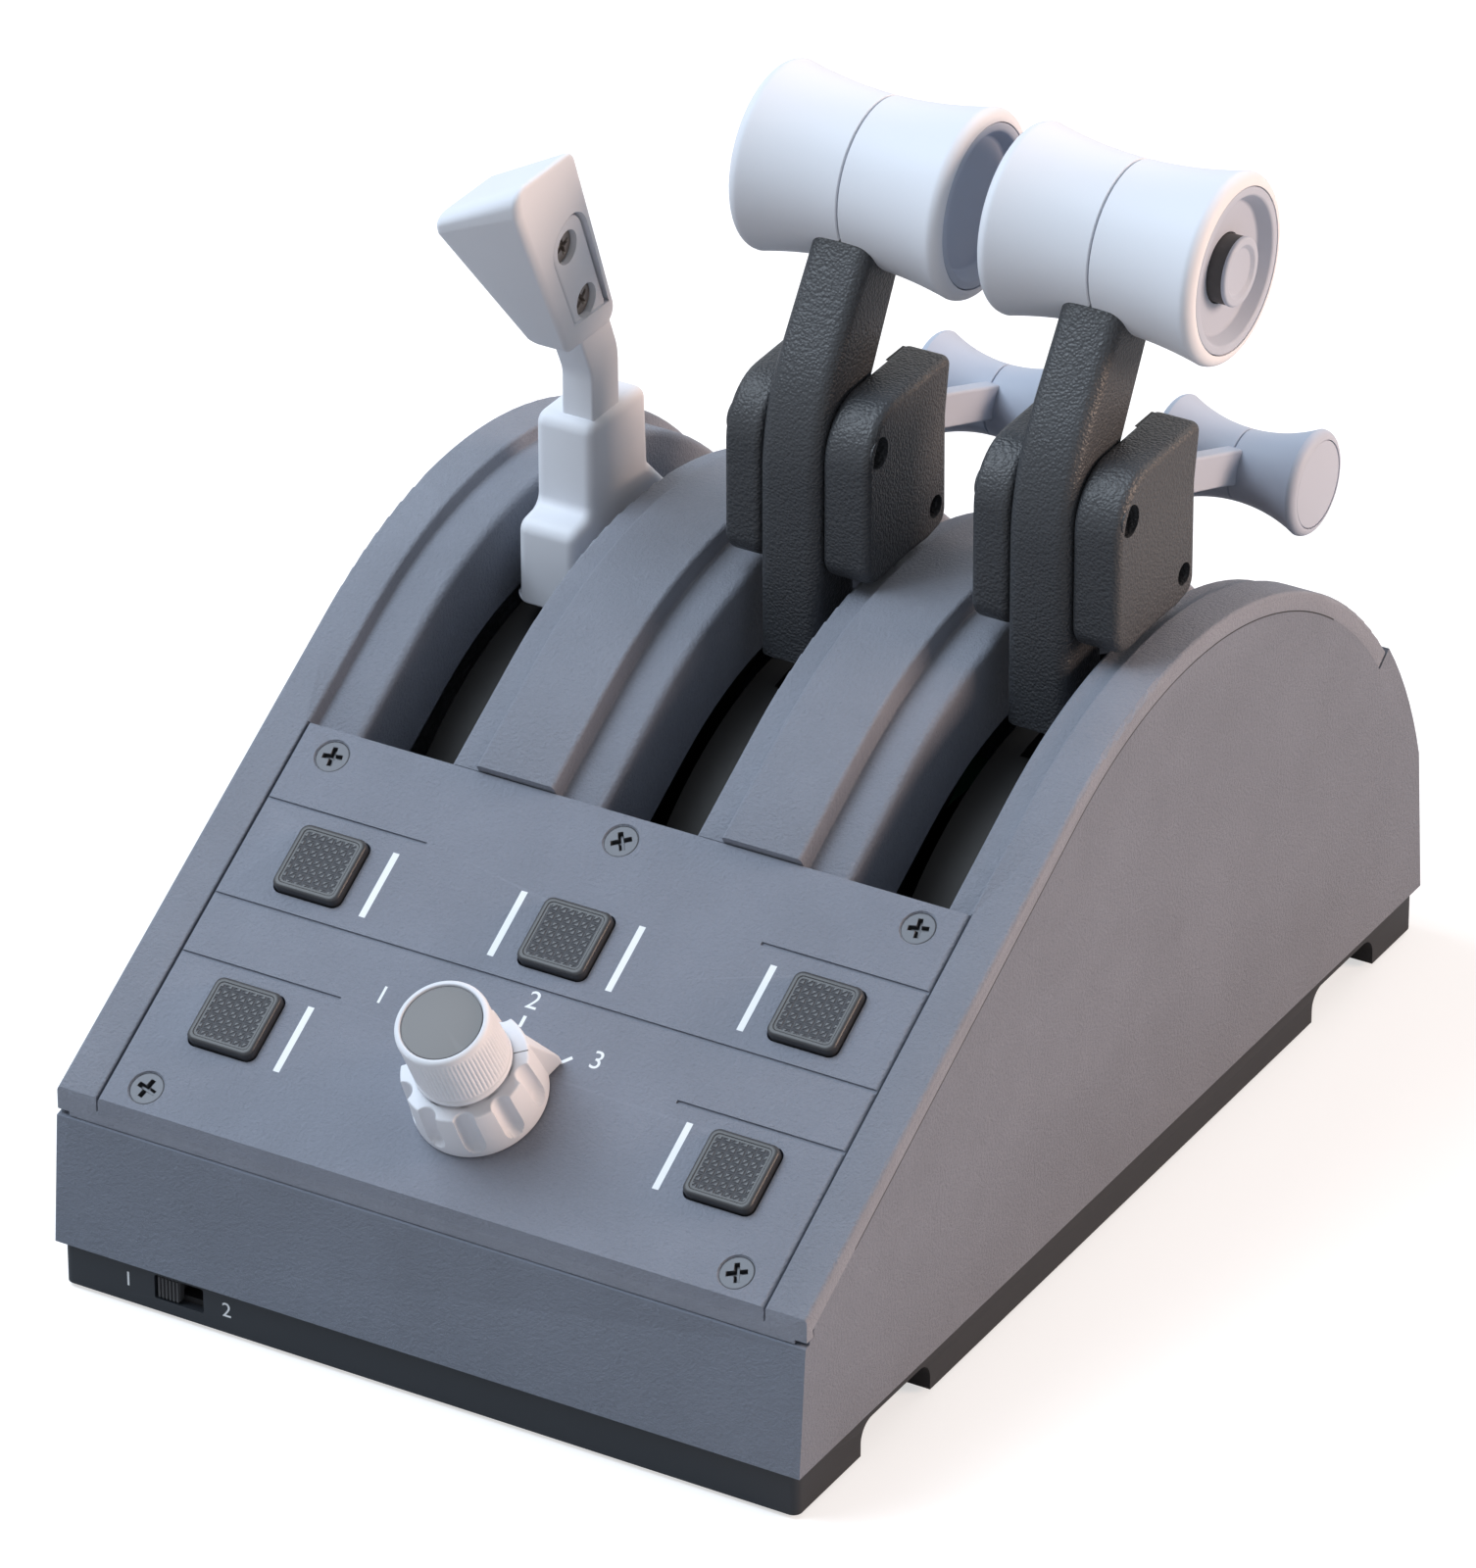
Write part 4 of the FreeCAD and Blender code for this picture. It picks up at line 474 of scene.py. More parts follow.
class ReliefGroups:
    """Shader groups shared by the finishes, each built once."""

    def __init__(self) -> None:
        """Build every group."""
        self.fine = self._noise_relief("fine_grain", detail=5.0, stretch=1.0)
        self.satin = self._noise_relief("satin_haze", detail=1.0, stretch=1.0)
        self.turned = self._noise_relief("turned_lines", detail=1.0, stretch=14.0)
        self.leather = self._leather()
        self.embossed = self._embossed()
        self.wear = self._wear()

    def _noise_relief(self, name: str, detail: float, stretch: float) -> bpy.types.NodeTree:
        """Relief from a fine noise; tint from the mean of that and a wide one.

        Args:
            name: Name of the group.
            detail: Octaves of the fine noise.
            stretch: How much finer the noise is along X.

        Returns:
            The group, with Relief and Tint outputs.
        """
        tree = new_group(name, {"Scale": 2500.0, "Spread": 60.0}, ("Relief", "Tint"))
        nodes, links = tree.nodes, tree.links
        source, sink = nodes.new("NodeGroupInput"), nodes.new("NodeGroupOutput")
        mapping = nodes.new("ShaderNodeMapping")
        mapping.inputs["Scale"].default_value = (stretch, 1.0, 1.0)
        small, wide = nodes.new("ShaderNodeTexNoise"), nodes.new("ShaderNodeTexNoise")
        small.inputs["Detail"].default_value = detail
        small.inputs["Roughness"].default_value = 0.7
        wide.inputs["Detail"].default_value = 2.0
        links.new(source.outputs["Vector"], mapping.inputs["Vector"])
        links.new(mapping.outputs["Vector"], small.inputs["Vector"])
        links.new(source.outputs["Vector"], wide.inputs["Vector"])
        links.new(source.outputs["Scale"], small.inputs["Scale"])
        links.new(source.outputs["Spread"], wide.inputs["Scale"])
        links.new(small.outputs["Fac"], sink.inputs["Relief"])
        both = nodes.new("ShaderNodeMix")
        both.inputs["Factor"].default_value = 0.5
        links.new(small.outputs["Fac"], both.inputs["A"])
        links.new(wide.outputs["Fac"], both.inputs["B"])
        links.new(both.outputs["Result"], sink.inputs["Tint"])
        return tree

    def _leather(self) -> bpy.types.NodeTree:
        """Pebbled relief: distance to rounded cells, bent by noise, with creases between them."""
        tree = new_group("leather_grain", {"Scale": 700.0, "Spread": 60.0}, ("Relief", "Tint"))
        nodes, links = tree.nodes, tree.links
        source, sink = nodes.new("NodeGroupInput"), nodes.new("NodeGroupOutput")
        bend = nodes.new("ShaderNodeTexNoise")
        bend.inputs["Scale"].default_value = 900.0
        shift = nodes.new("ShaderNodeVectorMath")
        shift.operation = "MULTIPLY_ADD"
        shift.inputs[1].default_value = (0.0007, 0.0007, 0.0007)
        cells = nodes.new("ShaderNodeTexVoronoi")
        cells.feature = "SMOOTH_F1"
        cells.inputs["Smoothness"].default_value = 0.5
        flip = nodes.new("ShaderNodeMath")
        flip.operation = "SUBTRACT"
        flip.inputs[0].default_value = 1.0
        wide = nodes.new("ShaderNodeTexNoise")
        links.new(source.outputs["Vector"], bend.inputs["Vector"])
        links.new(bend.outputs["Color"], shift.inputs[0])
        links.new(source.outputs["Vector"], shift.inputs[2])
        links.new(shift.outputs[0], cells.inputs["Vector"])
        links.new(source.outputs["Scale"], cells.inputs["Scale"])
        links.new(cells.outputs["Distance"], flip.inputs[1])
        links.new(flip.outputs[0], sink.inputs["Relief"])
        links.new(source.outputs["Vector"], wide.inputs["Vector"])
        links.new(source.outputs["Spread"], wide.inputs["Scale"])
        links.new(wide.outputs["Fac"], sink.inputs["Tint"])
        return tree

    def _embossed(self) -> bpy.types.NodeTree:
        """Rows of small raised triangles: in each cell, height rises from the edges and diagonal."""
        tree = new_group("embossed_triangles", {"Scale": 420.0, "Spread": 60.0},
                         ("Relief", "Tint"))
        nodes, links = tree.nodes, tree.links
        source, sink = nodes.new("NodeGroupInput"), nodes.new("NodeGroupOutput")
        scaled = nodes.new("ShaderNodeVectorMath")
        scaled.operation = "SCALE"
        cell = nodes.new("ShaderNodeVectorMath")
        cell.operation = "FRACTION"
        split = nodes.new("ShaderNodeSeparateXYZ")
        links.new(source.outputs["Vector"], scaled.inputs[0])
        links.new(source.outputs["Scale"], scaled.inputs["Scale"])
        links.new(scaled.outputs[0], cell.inputs[0])
        links.new(cell.outputs[0], split.inputs[0])

        def math_node(operation: str, first: object, second: object) -> object:
            """Return the output of a math node with these inputs."""
            node = nodes.new("ShaderNodeMath")
            node.operation = operation
            for slot, item in enumerate((first, second)):
                if isinstance(item, (int, float)):
                    node.inputs[slot].default_value = item
                else:
                    links.new(item, node.inputs[slot])
            return node.outputs[0]

        x, y = split.outputs["X"], split.outputs["Y"]
        diagonal = math_node("ABSOLUTE", math_node("SUBTRACT", x, y), 0.0)
        left = math_node("ABSOLUTE", math_node("SUBTRACT", x, 0.5), 0.0)
        low = math_node("ABSOLUTE", math_node("SUBTRACT", y, 0.5), 0.0)
        border = math_node("SUBTRACT", 0.5, math_node("MAXIMUM", left, low))
        ridge = math_node("MINIMUM", border, diagonal)
        raised = math_node("MINIMUM", math_node("MULTIPLY", ridge, 5.0), 1.0)
        links.new(raised, sink.inputs["Relief"])
        links.new(math_node("SUBTRACT", 1.0, raised), sink.inputs["Tint"])
        return tree

    def _wear(self) -> bpy.types.NodeTree:
        """Polish along convex edges, broken up by noise."""
        tree = new_group("edge_polish", {"Scale": 300.0, "Amount": 1.0}, ("Mask",))
        nodes, links = tree.nodes, tree.links
        source, sink = nodes.new("NodeGroupInput"), nodes.new("NodeGroupOutput")
        geometry = nodes.new("ShaderNodeNewGeometry")
        ramp = nodes.new("ShaderNodeMapRange")
        ramp.inputs["From Min"].default_value = 0.52
        ramp.inputs["From Max"].default_value = 0.62
        noise = nodes.new("ShaderNodeTexNoise")
        product = nodes.new("ShaderNodeMath")
        product.operation = "MULTIPLY"
        amount = nodes.new("ShaderNodeMath")
        amount.operation = "MULTIPLY"
        links.new(geometry.outputs["Pointiness"], ramp.inputs["Value"])
        links.new(source.outputs["Vector"], noise.inputs["Vector"])
        links.new(source.outputs["Scale"], noise.inputs["Scale"])
        links.new(ramp.outputs["Result"], product.inputs[0])
        links.new(noise.outputs["Fac"], product.inputs[1])
        links.new(product.outputs[0], amount.inputs[0])
        links.new(source.outputs["Amount"], amount.inputs[1])
        links.new(amount.outputs[0], sink.inputs["Mask"])
        return tree


@dataclass(frozen=True)
class Finish:
    """A moulded, painted or turned surface.

    Colour is linear; scale is grain cells per metre; relief is the bump distance in millimetres.
    """

    name: str
    colour: tuple[float, float, float]
    roughness: float
    grain: Grain = Grain.FINE
    scale: float = 2500.0
    relief: float = 0.03
    strength: float = 0.35
    tint: float = 0.10
    metallic: float = 0.0
    coat: float = 0.0
    polish: float = 0.25
    tilt: float = 0.0
    specular: float = 0.4

    def material(self, groups: ReliefGroups) -> bpy.types.Material:
        """Return the finish as a material, made on first use."""
        known = bpy.data.materials.get(self.name)
        if known is not None:
            return known
        material = bpy.data.materials.new(self.name)
        material.use_nodes = True
        nodes, links = material.node_tree.nodes, material.node_tree.links
        shader = nodes["Principled BSDF"]
        shader.inputs["Metallic"].default_value = self.metallic
        shader.inputs["Specular IOR Level"].default_value = self.specular
        shader.inputs["Coat Weight"].default_value = self.coat
        shader.inputs["Coat Roughness"].default_value = 0.25
        coordinates = nodes.new("ShaderNodeTexCoord")
        mapping = nodes.new("ShaderNodeMapping")
        mapping.vector_type = "TEXTURE"
        mapping.inputs["Rotation"].default_value = (self.tilt, 0.0, 0.0)
        links.new(coordinates.outputs["Object"], mapping.inputs["Vector"])
        relief = nodes.new("ShaderNodeGroup")
        relief.node_tree = getattr(groups, self.grain.value)
        relief.inputs["Scale"].default_value = self.scale
        links.new(mapping.outputs["Vector"], relief.inputs["Vector"])
        wear = nodes.new("ShaderNodeGroup")
        wear.node_tree = groups.wear
        wear.inputs["Amount"].default_value = self.polish
        links.new(mapping.outputs["Vector"], wear.inputs["Vector"])
        shade = nodes.new("ShaderNodeMix")
        shade.data_type = "RGBA"
        dark = tuple(part * (1 - self.tint) for part in self.colour)
        light = tuple(min(part * (1 + self.tint), 1.0) for part in self.colour)
        shade.inputs["A"].default_value = (*dark, 1.0)
        shade.inputs["B"].default_value = (*light, 1.0)
        links.new(relief.outputs["Tint"], shade.inputs["Factor"])
        edge = nodes.new("ShaderNodeMix")
        edge.data_type = "RGBA"
        edge.inputs["B"].default_value = (*[min(part * 1.5 + 0.02, 0.95) for part in self.colour], 1.0)
        links.new(wear.outputs["Mask"], edge.inputs["Factor"])
        links.new(shade.outputs["Result"], edge.inputs["A"])
        links.new(edge.outputs["Result"], shader.inputs["Base Color"])
        rough = nodes.new("ShaderNodeMapRange")
        rough.inputs["To Min"].default_value = self.roughness - 0.06
        rough.inputs["To Max"].default_value = self.roughness + 0.06
        links.new(relief.outputs["Tint"], rough.inputs["Value"])
        links.new(rough.outputs["Result"], shader.inputs["Roughness"])
        bump = nodes.new("ShaderNodeBump")
        bump.inputs["Strength"].default_value = self.strength
        bump.inputs["Distance"].default_value = self.relief * MM
        links.new(relief.outputs["Relief"], bump.inputs["Height"])
        links.new(bump.outputs["Normal"], shader.inputs["Normal"])
        return material


HOUSING = Finish("housing_grain", (0.160, 0.180, 0.226), 0.55, scale=1150.0, relief=0.75,
                 strength=0.8, tint=0.22)
COVER = Finish("cover_grain", (0.220, 0.238, 0.288), 0.52, scale=1150.0, relief=0.75,
               strength=0.8, tint=0.22)
PANEL = Finish("panel_grain", (0.214, 0.233, 0.286), 0.52, scale=1150.0, relief=0.75,
               strength=0.8, tint=0.22)
TRAY = Finish("tray_grain", (0.022, 0.026, 0.033), 0.5, scale=1700.0)
LEVER = Finish("lever_leather", (0.038, 0.041, 0.047), 0.46, Grain.LEATHER, scale=1500.0,
               relief=0.26, strength=0.8, tint=0.06)
# Near-black for the slot drums, the parting lines and the sheets on the cheeks: partly the parts' own
# black, partly painted shade in the slots and recesses.
GAP_AND_SHADE_BLACK = Finish("drum_plain", (0.006, 0.006, 0.007), 0.5)
WHITE = Finish("grip_satin", (0.71, 0.73, 0.785), 0.46, Grain.SATIN, scale=2600.0, relief=0.01,
               strength=0.15, tint=0.015, polish=0.05, specular=0.2)
# Darker, bluer copy of the grip white: painted shade, used on the grip end caps, thumb faces and
# reverse levers.
SHADED_WHITE = Finish("cap_satin", (0.42, 0.465, 0.56), 0.46, Grain.SATIN, scale=2600.0, relief=0.01,
                   strength=0.15, tint=0.015, polish=0.05, specular=0.2)
DISC_GREY = Finish("selector_disc", (0.16, 0.16, 0.165), 0.5, Grain.SATIN, relief=0.01,
                   strength=0.15, tint=0.03)
BUTTON = Finish("button_embossed", (0.060, 0.064, 0.074), 0.45, Grain.EMBOSSED, scale=480.0,
                relief=0.32, strength=0.9, tint=0.25, tilt=DECK_ANGLE)
BUTTON_RIM = Finish("button_rim", (0.032, 0.034, 0.039), 0.4, tint=0.05)
THUMB = Finish("thumb_black", (0.012, 0.012, 0.013), 0.4, tint=0.05)
SCREW = Finish("screw_oxide", (0.05, 0.052, 0.058), 0.38, metallic=0.7, tint=0.1)
HANDLE_SCREW = Finish("handle_screw_zinc", (0.24, 0.21, 0.19), 0.35, metallic=0.8, tint=0.1)
STEEL = Finish("turned_steel", (0.45, 0.45, 0.46), 0.3, Grain.TURNED, scale=900.0, relief=0.02,
               metallic=1.0, tint=0.06)
PLATE = Finish("plate_steel", (0.35, 0.35, 0.36), 0.4, metallic=1.0, tint=0.08)
RUBBER = Finish("foot_rubber", (0.015, 0.015, 0.016), 0.75, scale=1200.0, relief=0.06)
BOARD = Finish("board_mask", (0.012, 0.06, 0.03), 0.3, tint=0.15, coat=0.3)
SWITCH = Finish("switch_body", (0.02, 0.02, 0.022), 0.4)
PRINT = Finish("white_print", (0.80, 0.82, 0.85), 0.55, tint=0.03, strength=0.1, polish=0.0)


# ------------------------------------------------------------------ building


class Workshop:
    """Adds pieces: gives each its finish, body and the solids it stands for."""

    def __init__(self, frame: dict) -> None:
        """Keep the frame and build the shared shader groups."""
        self.frame = frame
        self.groups = ReliefGroups()
        self.slots = {item["node"]: item["material_slot"] for item in frame["record"]["subparts"]}
        bodies = frame["record"]["behaviour"]["bodies"]
        self.owner = {node: body for body, nodes in bodies.items() for node in nodes}
        joint = next(item for item in frame["joints"] if item["name"] == "throttle_left_lever")
        self.pivot = np.array(joint["pos_m"]) / MM

    def add(self, piece: bpy.types.Object, finish: Finish, body: str,
            replaces: tuple[str, ...] = (), like: str | None = None) -> bpy.types.Object:
        """Finish a new piece and hang it on a body.

        Args:
            piece: The object, already in place.
            finish: Its surface.
            body: CAD body that carries it.
            replaces: CAD nodes it stands for.
            like: Not used.

        Returns:
            The piece.
        """
        piece.data.materials.clear()
        piece.data.materials.append(finish.material(self.groups))
        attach(piece, body)
        if replaces:
            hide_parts(*replaces)
            like = like or replaces[0]
        log.info("piece %s on %s", piece.name, body)
        return piece

    def dress(self, node: str, finish: Finish) -> None:
        """Give a solid that shows as it is its finish."""
        mesh = self.frame["nodes"][node].data
        material = finish.material(self.groups)
        if mesh.materials:
            for index in range(len(mesh.materials)):
                mesh.materials[index] = material
        else:
            mesh.materials.append(material)
        log.info("solid %s dressed", node)

    def soft_copy(self, node: str, finish: Finish, width: float, segments: int = 3,
                  limit: float = 32.0) -> bpy.types.Object:
        """Replace a solid by a merged copy with rounded edges.

        Args:
            node: The CAD node.
            finish: Its surface.
            width: Bevel in millimetres.
            segments: Steps of the bevel.
            limit: Least edge angle, in degrees, that is rounded.

        Returns:
            The copy.
        """
        mesh = self.frame["nodes"][node].data.copy()
        mesh.name = f"{node}_soft"
        if mesh.has_custom_normals:
            mesh.normals_split_custom_set([(0.0, 0.0, 0.0)] * len(mesh.loops))
        work = bmesh.new()
        work.from_mesh(mesh)
        bmesh.ops.remove_doubles(work, verts=work.verts, dist=2e-6)
        bmesh.ops.dissolve_limit(work, angle_limit=math.radians(0.4), verts=work.verts,
                                 edges=work.edges)
        work.to_mesh(mesh)
        work.free()
        mesh.shade_smooth()
        mesh.set_sharp_from_angle(angle=math.radians(limit))
        piece = bpy.data.objects.new(f"{node}_soft", mesh)
        bpy.context.scene.collection.objects.link(piece)
        if width > 0:
            soften(piece, width, segments, limit)
        return self.add(piece, finish, self.owner[node], (node,))

    def label(self, name: str, text: str, place: Place, size: float, node: str) -> None:
        """Print a plain number on a solid's surface as a thin raised mesh."""
        curve = bpy.data.curves.new(name, "FONT")
        curve.body = text
        curve.size = size
        curve.align_x = "CENTER"
        curve.align_y = "CENTER"
        curve.extrude = 0.012
        maker = bpy.data.objects.new(name + "_curve", curve)
        mesh = bpy.data.meshes.new_from_object(maker)
        flat = np.zeros(len(mesh.vertices) * 3)
        mesh.vertices.foreach_get("co", flat)
        placed = place.put(flat.reshape(-1, 3)) * MM
        mesh.vertices.foreach_set("co", placed.ravel())
        mesh.update()
        bpy.data.objects.remove(maker)
        bpy.data.curves.remove(curve)
        piece = bpy.data.objects.new(name, mesh)
        bpy.context.scene.collection.objects.link(piece)
        self.add(piece, PRINT, self.owner[node], like=node)


@dataclass
class Housing:
    """Tray, main housing, top cover and what is fixed inside them."""

    shop: Workshop
    moulded_edge: float = 0.5
    tray_edge: float = 0.35
    parting_drop: float = 4.4
    parting_run: float = 108.0
    parting_width: float = 0.3

    def build(self) -> None:
        """Round the big mouldings and dress the inner pieces."""
        self.shop.soft_copy("main_housing", HOUSING, self.moulded_edge)
        self.shop.soft_copy("top_cover", COVER, 0.35, 2, 40.0)
        self.shop.soft_copy("base_tray", TRAY, self.tray_edge)
        for node, finish in {"rubber_feet": RUBBER, "tray_screws": SCREW, "ballast_plate": PLATE,
                             "button_board": BOARD, "button_switches": SWITCH,
                             "selector_encoder": SWITCH, "main_board": BOARD,
                             "usb_socket": STEEL, "slide_switch_body": SWITCH,
                             "lever_axle": STEEL, "axle_brackets": TRAY,
                             "sensor_boards": BOARD, "axle_clips": STEEL}.items():
            self.shop.dress(node, finish)
        self.shop.soft_copy("slide_thumb", THUMB, 0.12, 2)
        for sign in (-1.0, 1.0):
            self._parting_line(sign)
        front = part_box("base_tray")[0].y / MM
        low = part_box("base_tray")[0].z / MM
        face = Place(np.array([0.0, front - 0.01, low + 5.6]), np.array([1.0, 0, 0]),
                     np.array([0, 0, 1.0]), np.array([0, -1.0, 0]))
        self.shop.label("slide_number_1", "1", face.moved(-74.5, 0, 0), 5.0, "base_tray")
        self.shop.label("slide_number_2", "2", face.moved(-49.5, 0, 0), 5.0, "base_tray")

    def _parting_line(self, sign: float) -> None:
        """Lay a thin dark line under the cover's edge on one side wall.

        It keeps a fixed distance below the profile: a straight run beside the panel, then an
        arc about the lever axle that is tangent to it.

        Args:
            sign: 1 for the right wall, -1 for the left.
        """
        radius = DECK_RADIUS - self.parting_drop
        angle = np.linspace(math.pi / 2 + DECK_ANGLE, math.radians(53.6), 80)
        arc = radius * np.stack([np.cos(angle), np.sin(angle)], axis=1)
        run = np.linspace(-self.parting_run, 0.0, 40)[:-1, None]
        along = np.array([[math.cos(DECK_ANGLE), math.sin(DECK_ANGLE)]])
        line = np.concatenate([arc[:1] + run * along, arc])
        normal = outward(closed_line(line))[:-1]
        normal[0], normal[-1] = normal[1], normal[-2]
        half = self.parting_width / 2
        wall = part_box("main_housing")[1].x / MM * sign
        sides = [np.column_stack([np.full(len(line), wall + 0.01 * sign), line + normal * shift])
                 for shift in (-half, half)]
        place = upright([0.0, self.shop.pivot[1], self.shop.pivot[2]])
        piece = new_object(f"parting_line_{'right' if sign > 0 else 'left'}",
                           place.put(np.concatenate(sides)), grid_quads(2, len(line), False),
                           60.0, closed=False)
        self.shop.add(piece, GAP_AND_SHADE_BLACK, "base", like="main_housing")


@dataclass
class ControlPanel:
    """Sloped panel with its screws, printed bars and numbers."""

    shop: Workshop
    screw_reach: float = 72.6
    screw_row: float = 87.4
    bar_length: float = 16.75
    bar_width: float = 1.55
    selector_slope: float = SELECTOR_SLOPE

    def build(self) -> None:
        """Build the panel and everything printed or screwed on it."""
        self.shop.soft_copy("control_panel", PANEL, 0.3, 3, 30.0)
        self._screws()
        self._prints()

    def _screws(self) -> None:
        """Countersunk heads: a flat disc whose face drops into a cross-shaped recess."""
        spots = [(-self.screw_reach, 0.0), (0.0, 0.0), (self.screw_reach, 0.0),
                 (-self.screw_reach, -self.screw_row), (self.screw_reach, -self.screw_row)]
        turns = [8.0, 31.0, 12.0, -14.0, 24.0]
        for number, ((x, slope), turn) in enumerate(zip(spots, turns), start=1):
            place = deck_place(self.shop.pivot, x, slope, -0.3).turned(turn)
            piece = screw_head(f"panel_screw_{number}", place, 4.0, 2.1)
            cover = ("panel_screws",) if number == 1 else ()
            self.shop.add(piece, SCREW, "base", cover, "panel_screws")

    def _prints(self) -> None:
        """Bars beside the buttons, ticks and numbers round the selector."""
        bars = [(x, -26.3) for x in (-46.7, -14.6, 14.6, 46.7)] + [(-46.7, -66.6), (46.7, -66.6)]
        for number, (x, slope) in enumerate(bars, start=1):
            place = deck_place(self.shop.pivot, x, slope, 0.0)
            self._stripe(f"bar_{number}", place, self.bar_width, self.bar_length)
        for number, angle in enumerate((45.0, 0.0, -45.0), start=1):
            place = deck_place(self.shop.pivot, 0.0, self.selector_slope, 0.0).turned(angle)
            self._stripe(f"tick_{number}", place.moved(0, 19.4, 0), 0.8, 2.8)
        numbers = {"1": (-33.0, 15.6), "2": (0.0, 24.6), "3": (20.2, 15.6)}
        for text, (x, y) in numbers.items():
            place = deck_place(self.shop.pivot, x, self.selector_slope + y, 0.0)
            self.shop.label(f"selector_number_{text}", text, place, 6.2, "control_panel")

    def _stripe(self, name: str, place: Place, width: float, length: float) -> None:
        """Print one straight bar, a hair above the surface."""
        piece = extruded(name, rectangle(width / 2, length / 2), -0.02, 0.03, place)
        self.shop.add(piece, PRINT, "base", like="control_panel")


def screw_head(name: str, place: Place, radius: float, depth: float) -> bpy.types.Object:
    """A screw head as one square grid bent to a disc.

    A square's points go to a disc by x times the root of one less half y squared.  The face
    drops where a point lies in either arm of the cross, and the rim turns down as a cone.

    Args:
        name: Name of the piece.
        place: Frame of the head's face.
        radius: Radius of the head.
        depth: Depth of the cone below the face.

    Returns:
        The head.
    """
    count = 61
    line = np.linspace(-1, 1, count)
    u, v = np.meshgrid(line, line)
    x = u * np.sqrt(1 - v * v / 2)
    y = v * np.sqrt(1 - u * u / 2)
    px, py = x * radius, y * radius
    along, beside = np.maximum(np.abs(px), np.abs(py)), np.minimum(np.abs(px), np.abs(py))
    arm = np.clip((0.55 - beside) / 0.22, 0, 1) * np.clip((2.35 - along) / 0.3, 0, 1)
    z = -1.1 * arm - 0.12 * np.clip((np.hypot(px, py) - radius + 0.35) / 0.35, 0, 1)
    top = np.stack([px, py, z], axis=-1).reshape(-1, 3)
    faces = grid_quads(count, count, wrap=False).tolist()
    rim = np.concatenate([np.arange(count), np.arange(2 * count - 1, count * count, count),
                          np.arange(count * count - 2, count * count - count - 1, -1),
                          np.arange(count * count - 2 * count, 0, -count)])
    low = top[rim] * [0.55, 0.55, 0.0] + [0, 0, -depth]
    start, size = len(top), len(rim)
    faces += [[int(rim[i]), start + i, start + (i + 1) % size, int(rim[(i + 1) % size])]
              for i in range(size)]
    faces.append([start + i for i in range(size)])
    return new_object(name, place.put(np.concatenate([top, low])), faces, 40.0)


@dataclass
class PushButtons:
    """Five square keys with a smooth rim round an embossed, slightly hollow top."""

    shop: Workshop
    half: float = 8.25
    corner: float = 2.0
    rise: float = 2.2
    reach: float = 61.2
    row: float = 26.2
    step: float = 40.2

    def build(self) -> None:
        """Build all five keys."""
        spots = [(-self.reach, -self.row), (-self.reach, -self.row - self.step),
                 (0.0, -self.row), (self.reach, -self.row), (self.reach, -self.row - self.step)]
        for number, (x, slope) in enumerate(spots, start=1):
            place = deck_place(self.shop.pivot, x, slope)
            self._key(number, place)

    def _key(self, number: int, place: Place) -> None:
        """One key: rings of a rounded square that step up the side, over the rim and inwards."""
        angle = np.linspace(0, 2 * math.pi, 128, endpoint=False) + math.pi / 128
        side = soft_profile([(0.0, -4.0, 0), (0.0, self.rise, 0.8), (-1.2, self.rise, 0.2),
                             (-1.4, self.rise - 0.15, 0.1), (-1.8, self.rise - 0.15, 0)], 5)
        rings = []
        for inset, level in side:
            outline = rounded_square(self.half + inset, max(self.corner + inset * 0.6, 0.5), angle)
            rings.append(np.column_stack([outline, np.full(len(outline), level)]))
        rim = new_object(f"button_{number}_rim", place.put(np.concatenate(rings)),
                         grid_quads(len(rings), len(angle)), 40.0, closed=False)
        flip_inward(rim, place)
        self.shop.add(rim, BUTTON_RIM, f"push_{number}", (f"button_{number}",))
        share = np.linspace(1.0, 0.0, 12)
        edge = rounded_square(self.half - 1.75, 0.9, angle)
        hollow = self.rise - 0.15 - 0.2 * (1 - share ** 2)
        points = np.concatenate([np.column_stack([edge * part, np.full(len(edge), level)])
                                 for part, level in zip(share, hollow)])
        face = new_object(f"button_{number}_face", place.put(points),
                          grid_quads(len(share), len(angle)), 60.0, closed=False)
        flip_inward(face, place)
        self.shop.add(face, BUTTON, f"push_{number}", like=f"button_{number}")


def flip_inward(piece: bpy.types.Object, place: Place) -> None:
    """Turn an open sheet's faces so that its flattest faces look along the frame's up."""
    work = bmesh.new()
    work.from_mesh(piece.data)
    bmesh.ops.recalc_face_normals(work, faces=work.faces)
    up = Vector(place.up)
    total = sum(face.normal.dot(up) * face.calc_area() for face in work.faces)
    if total < 0:
        bmesh.ops.reverse_faces(work, faces=work.faces)
    work.to_mesh(piece.data)
    work.free()


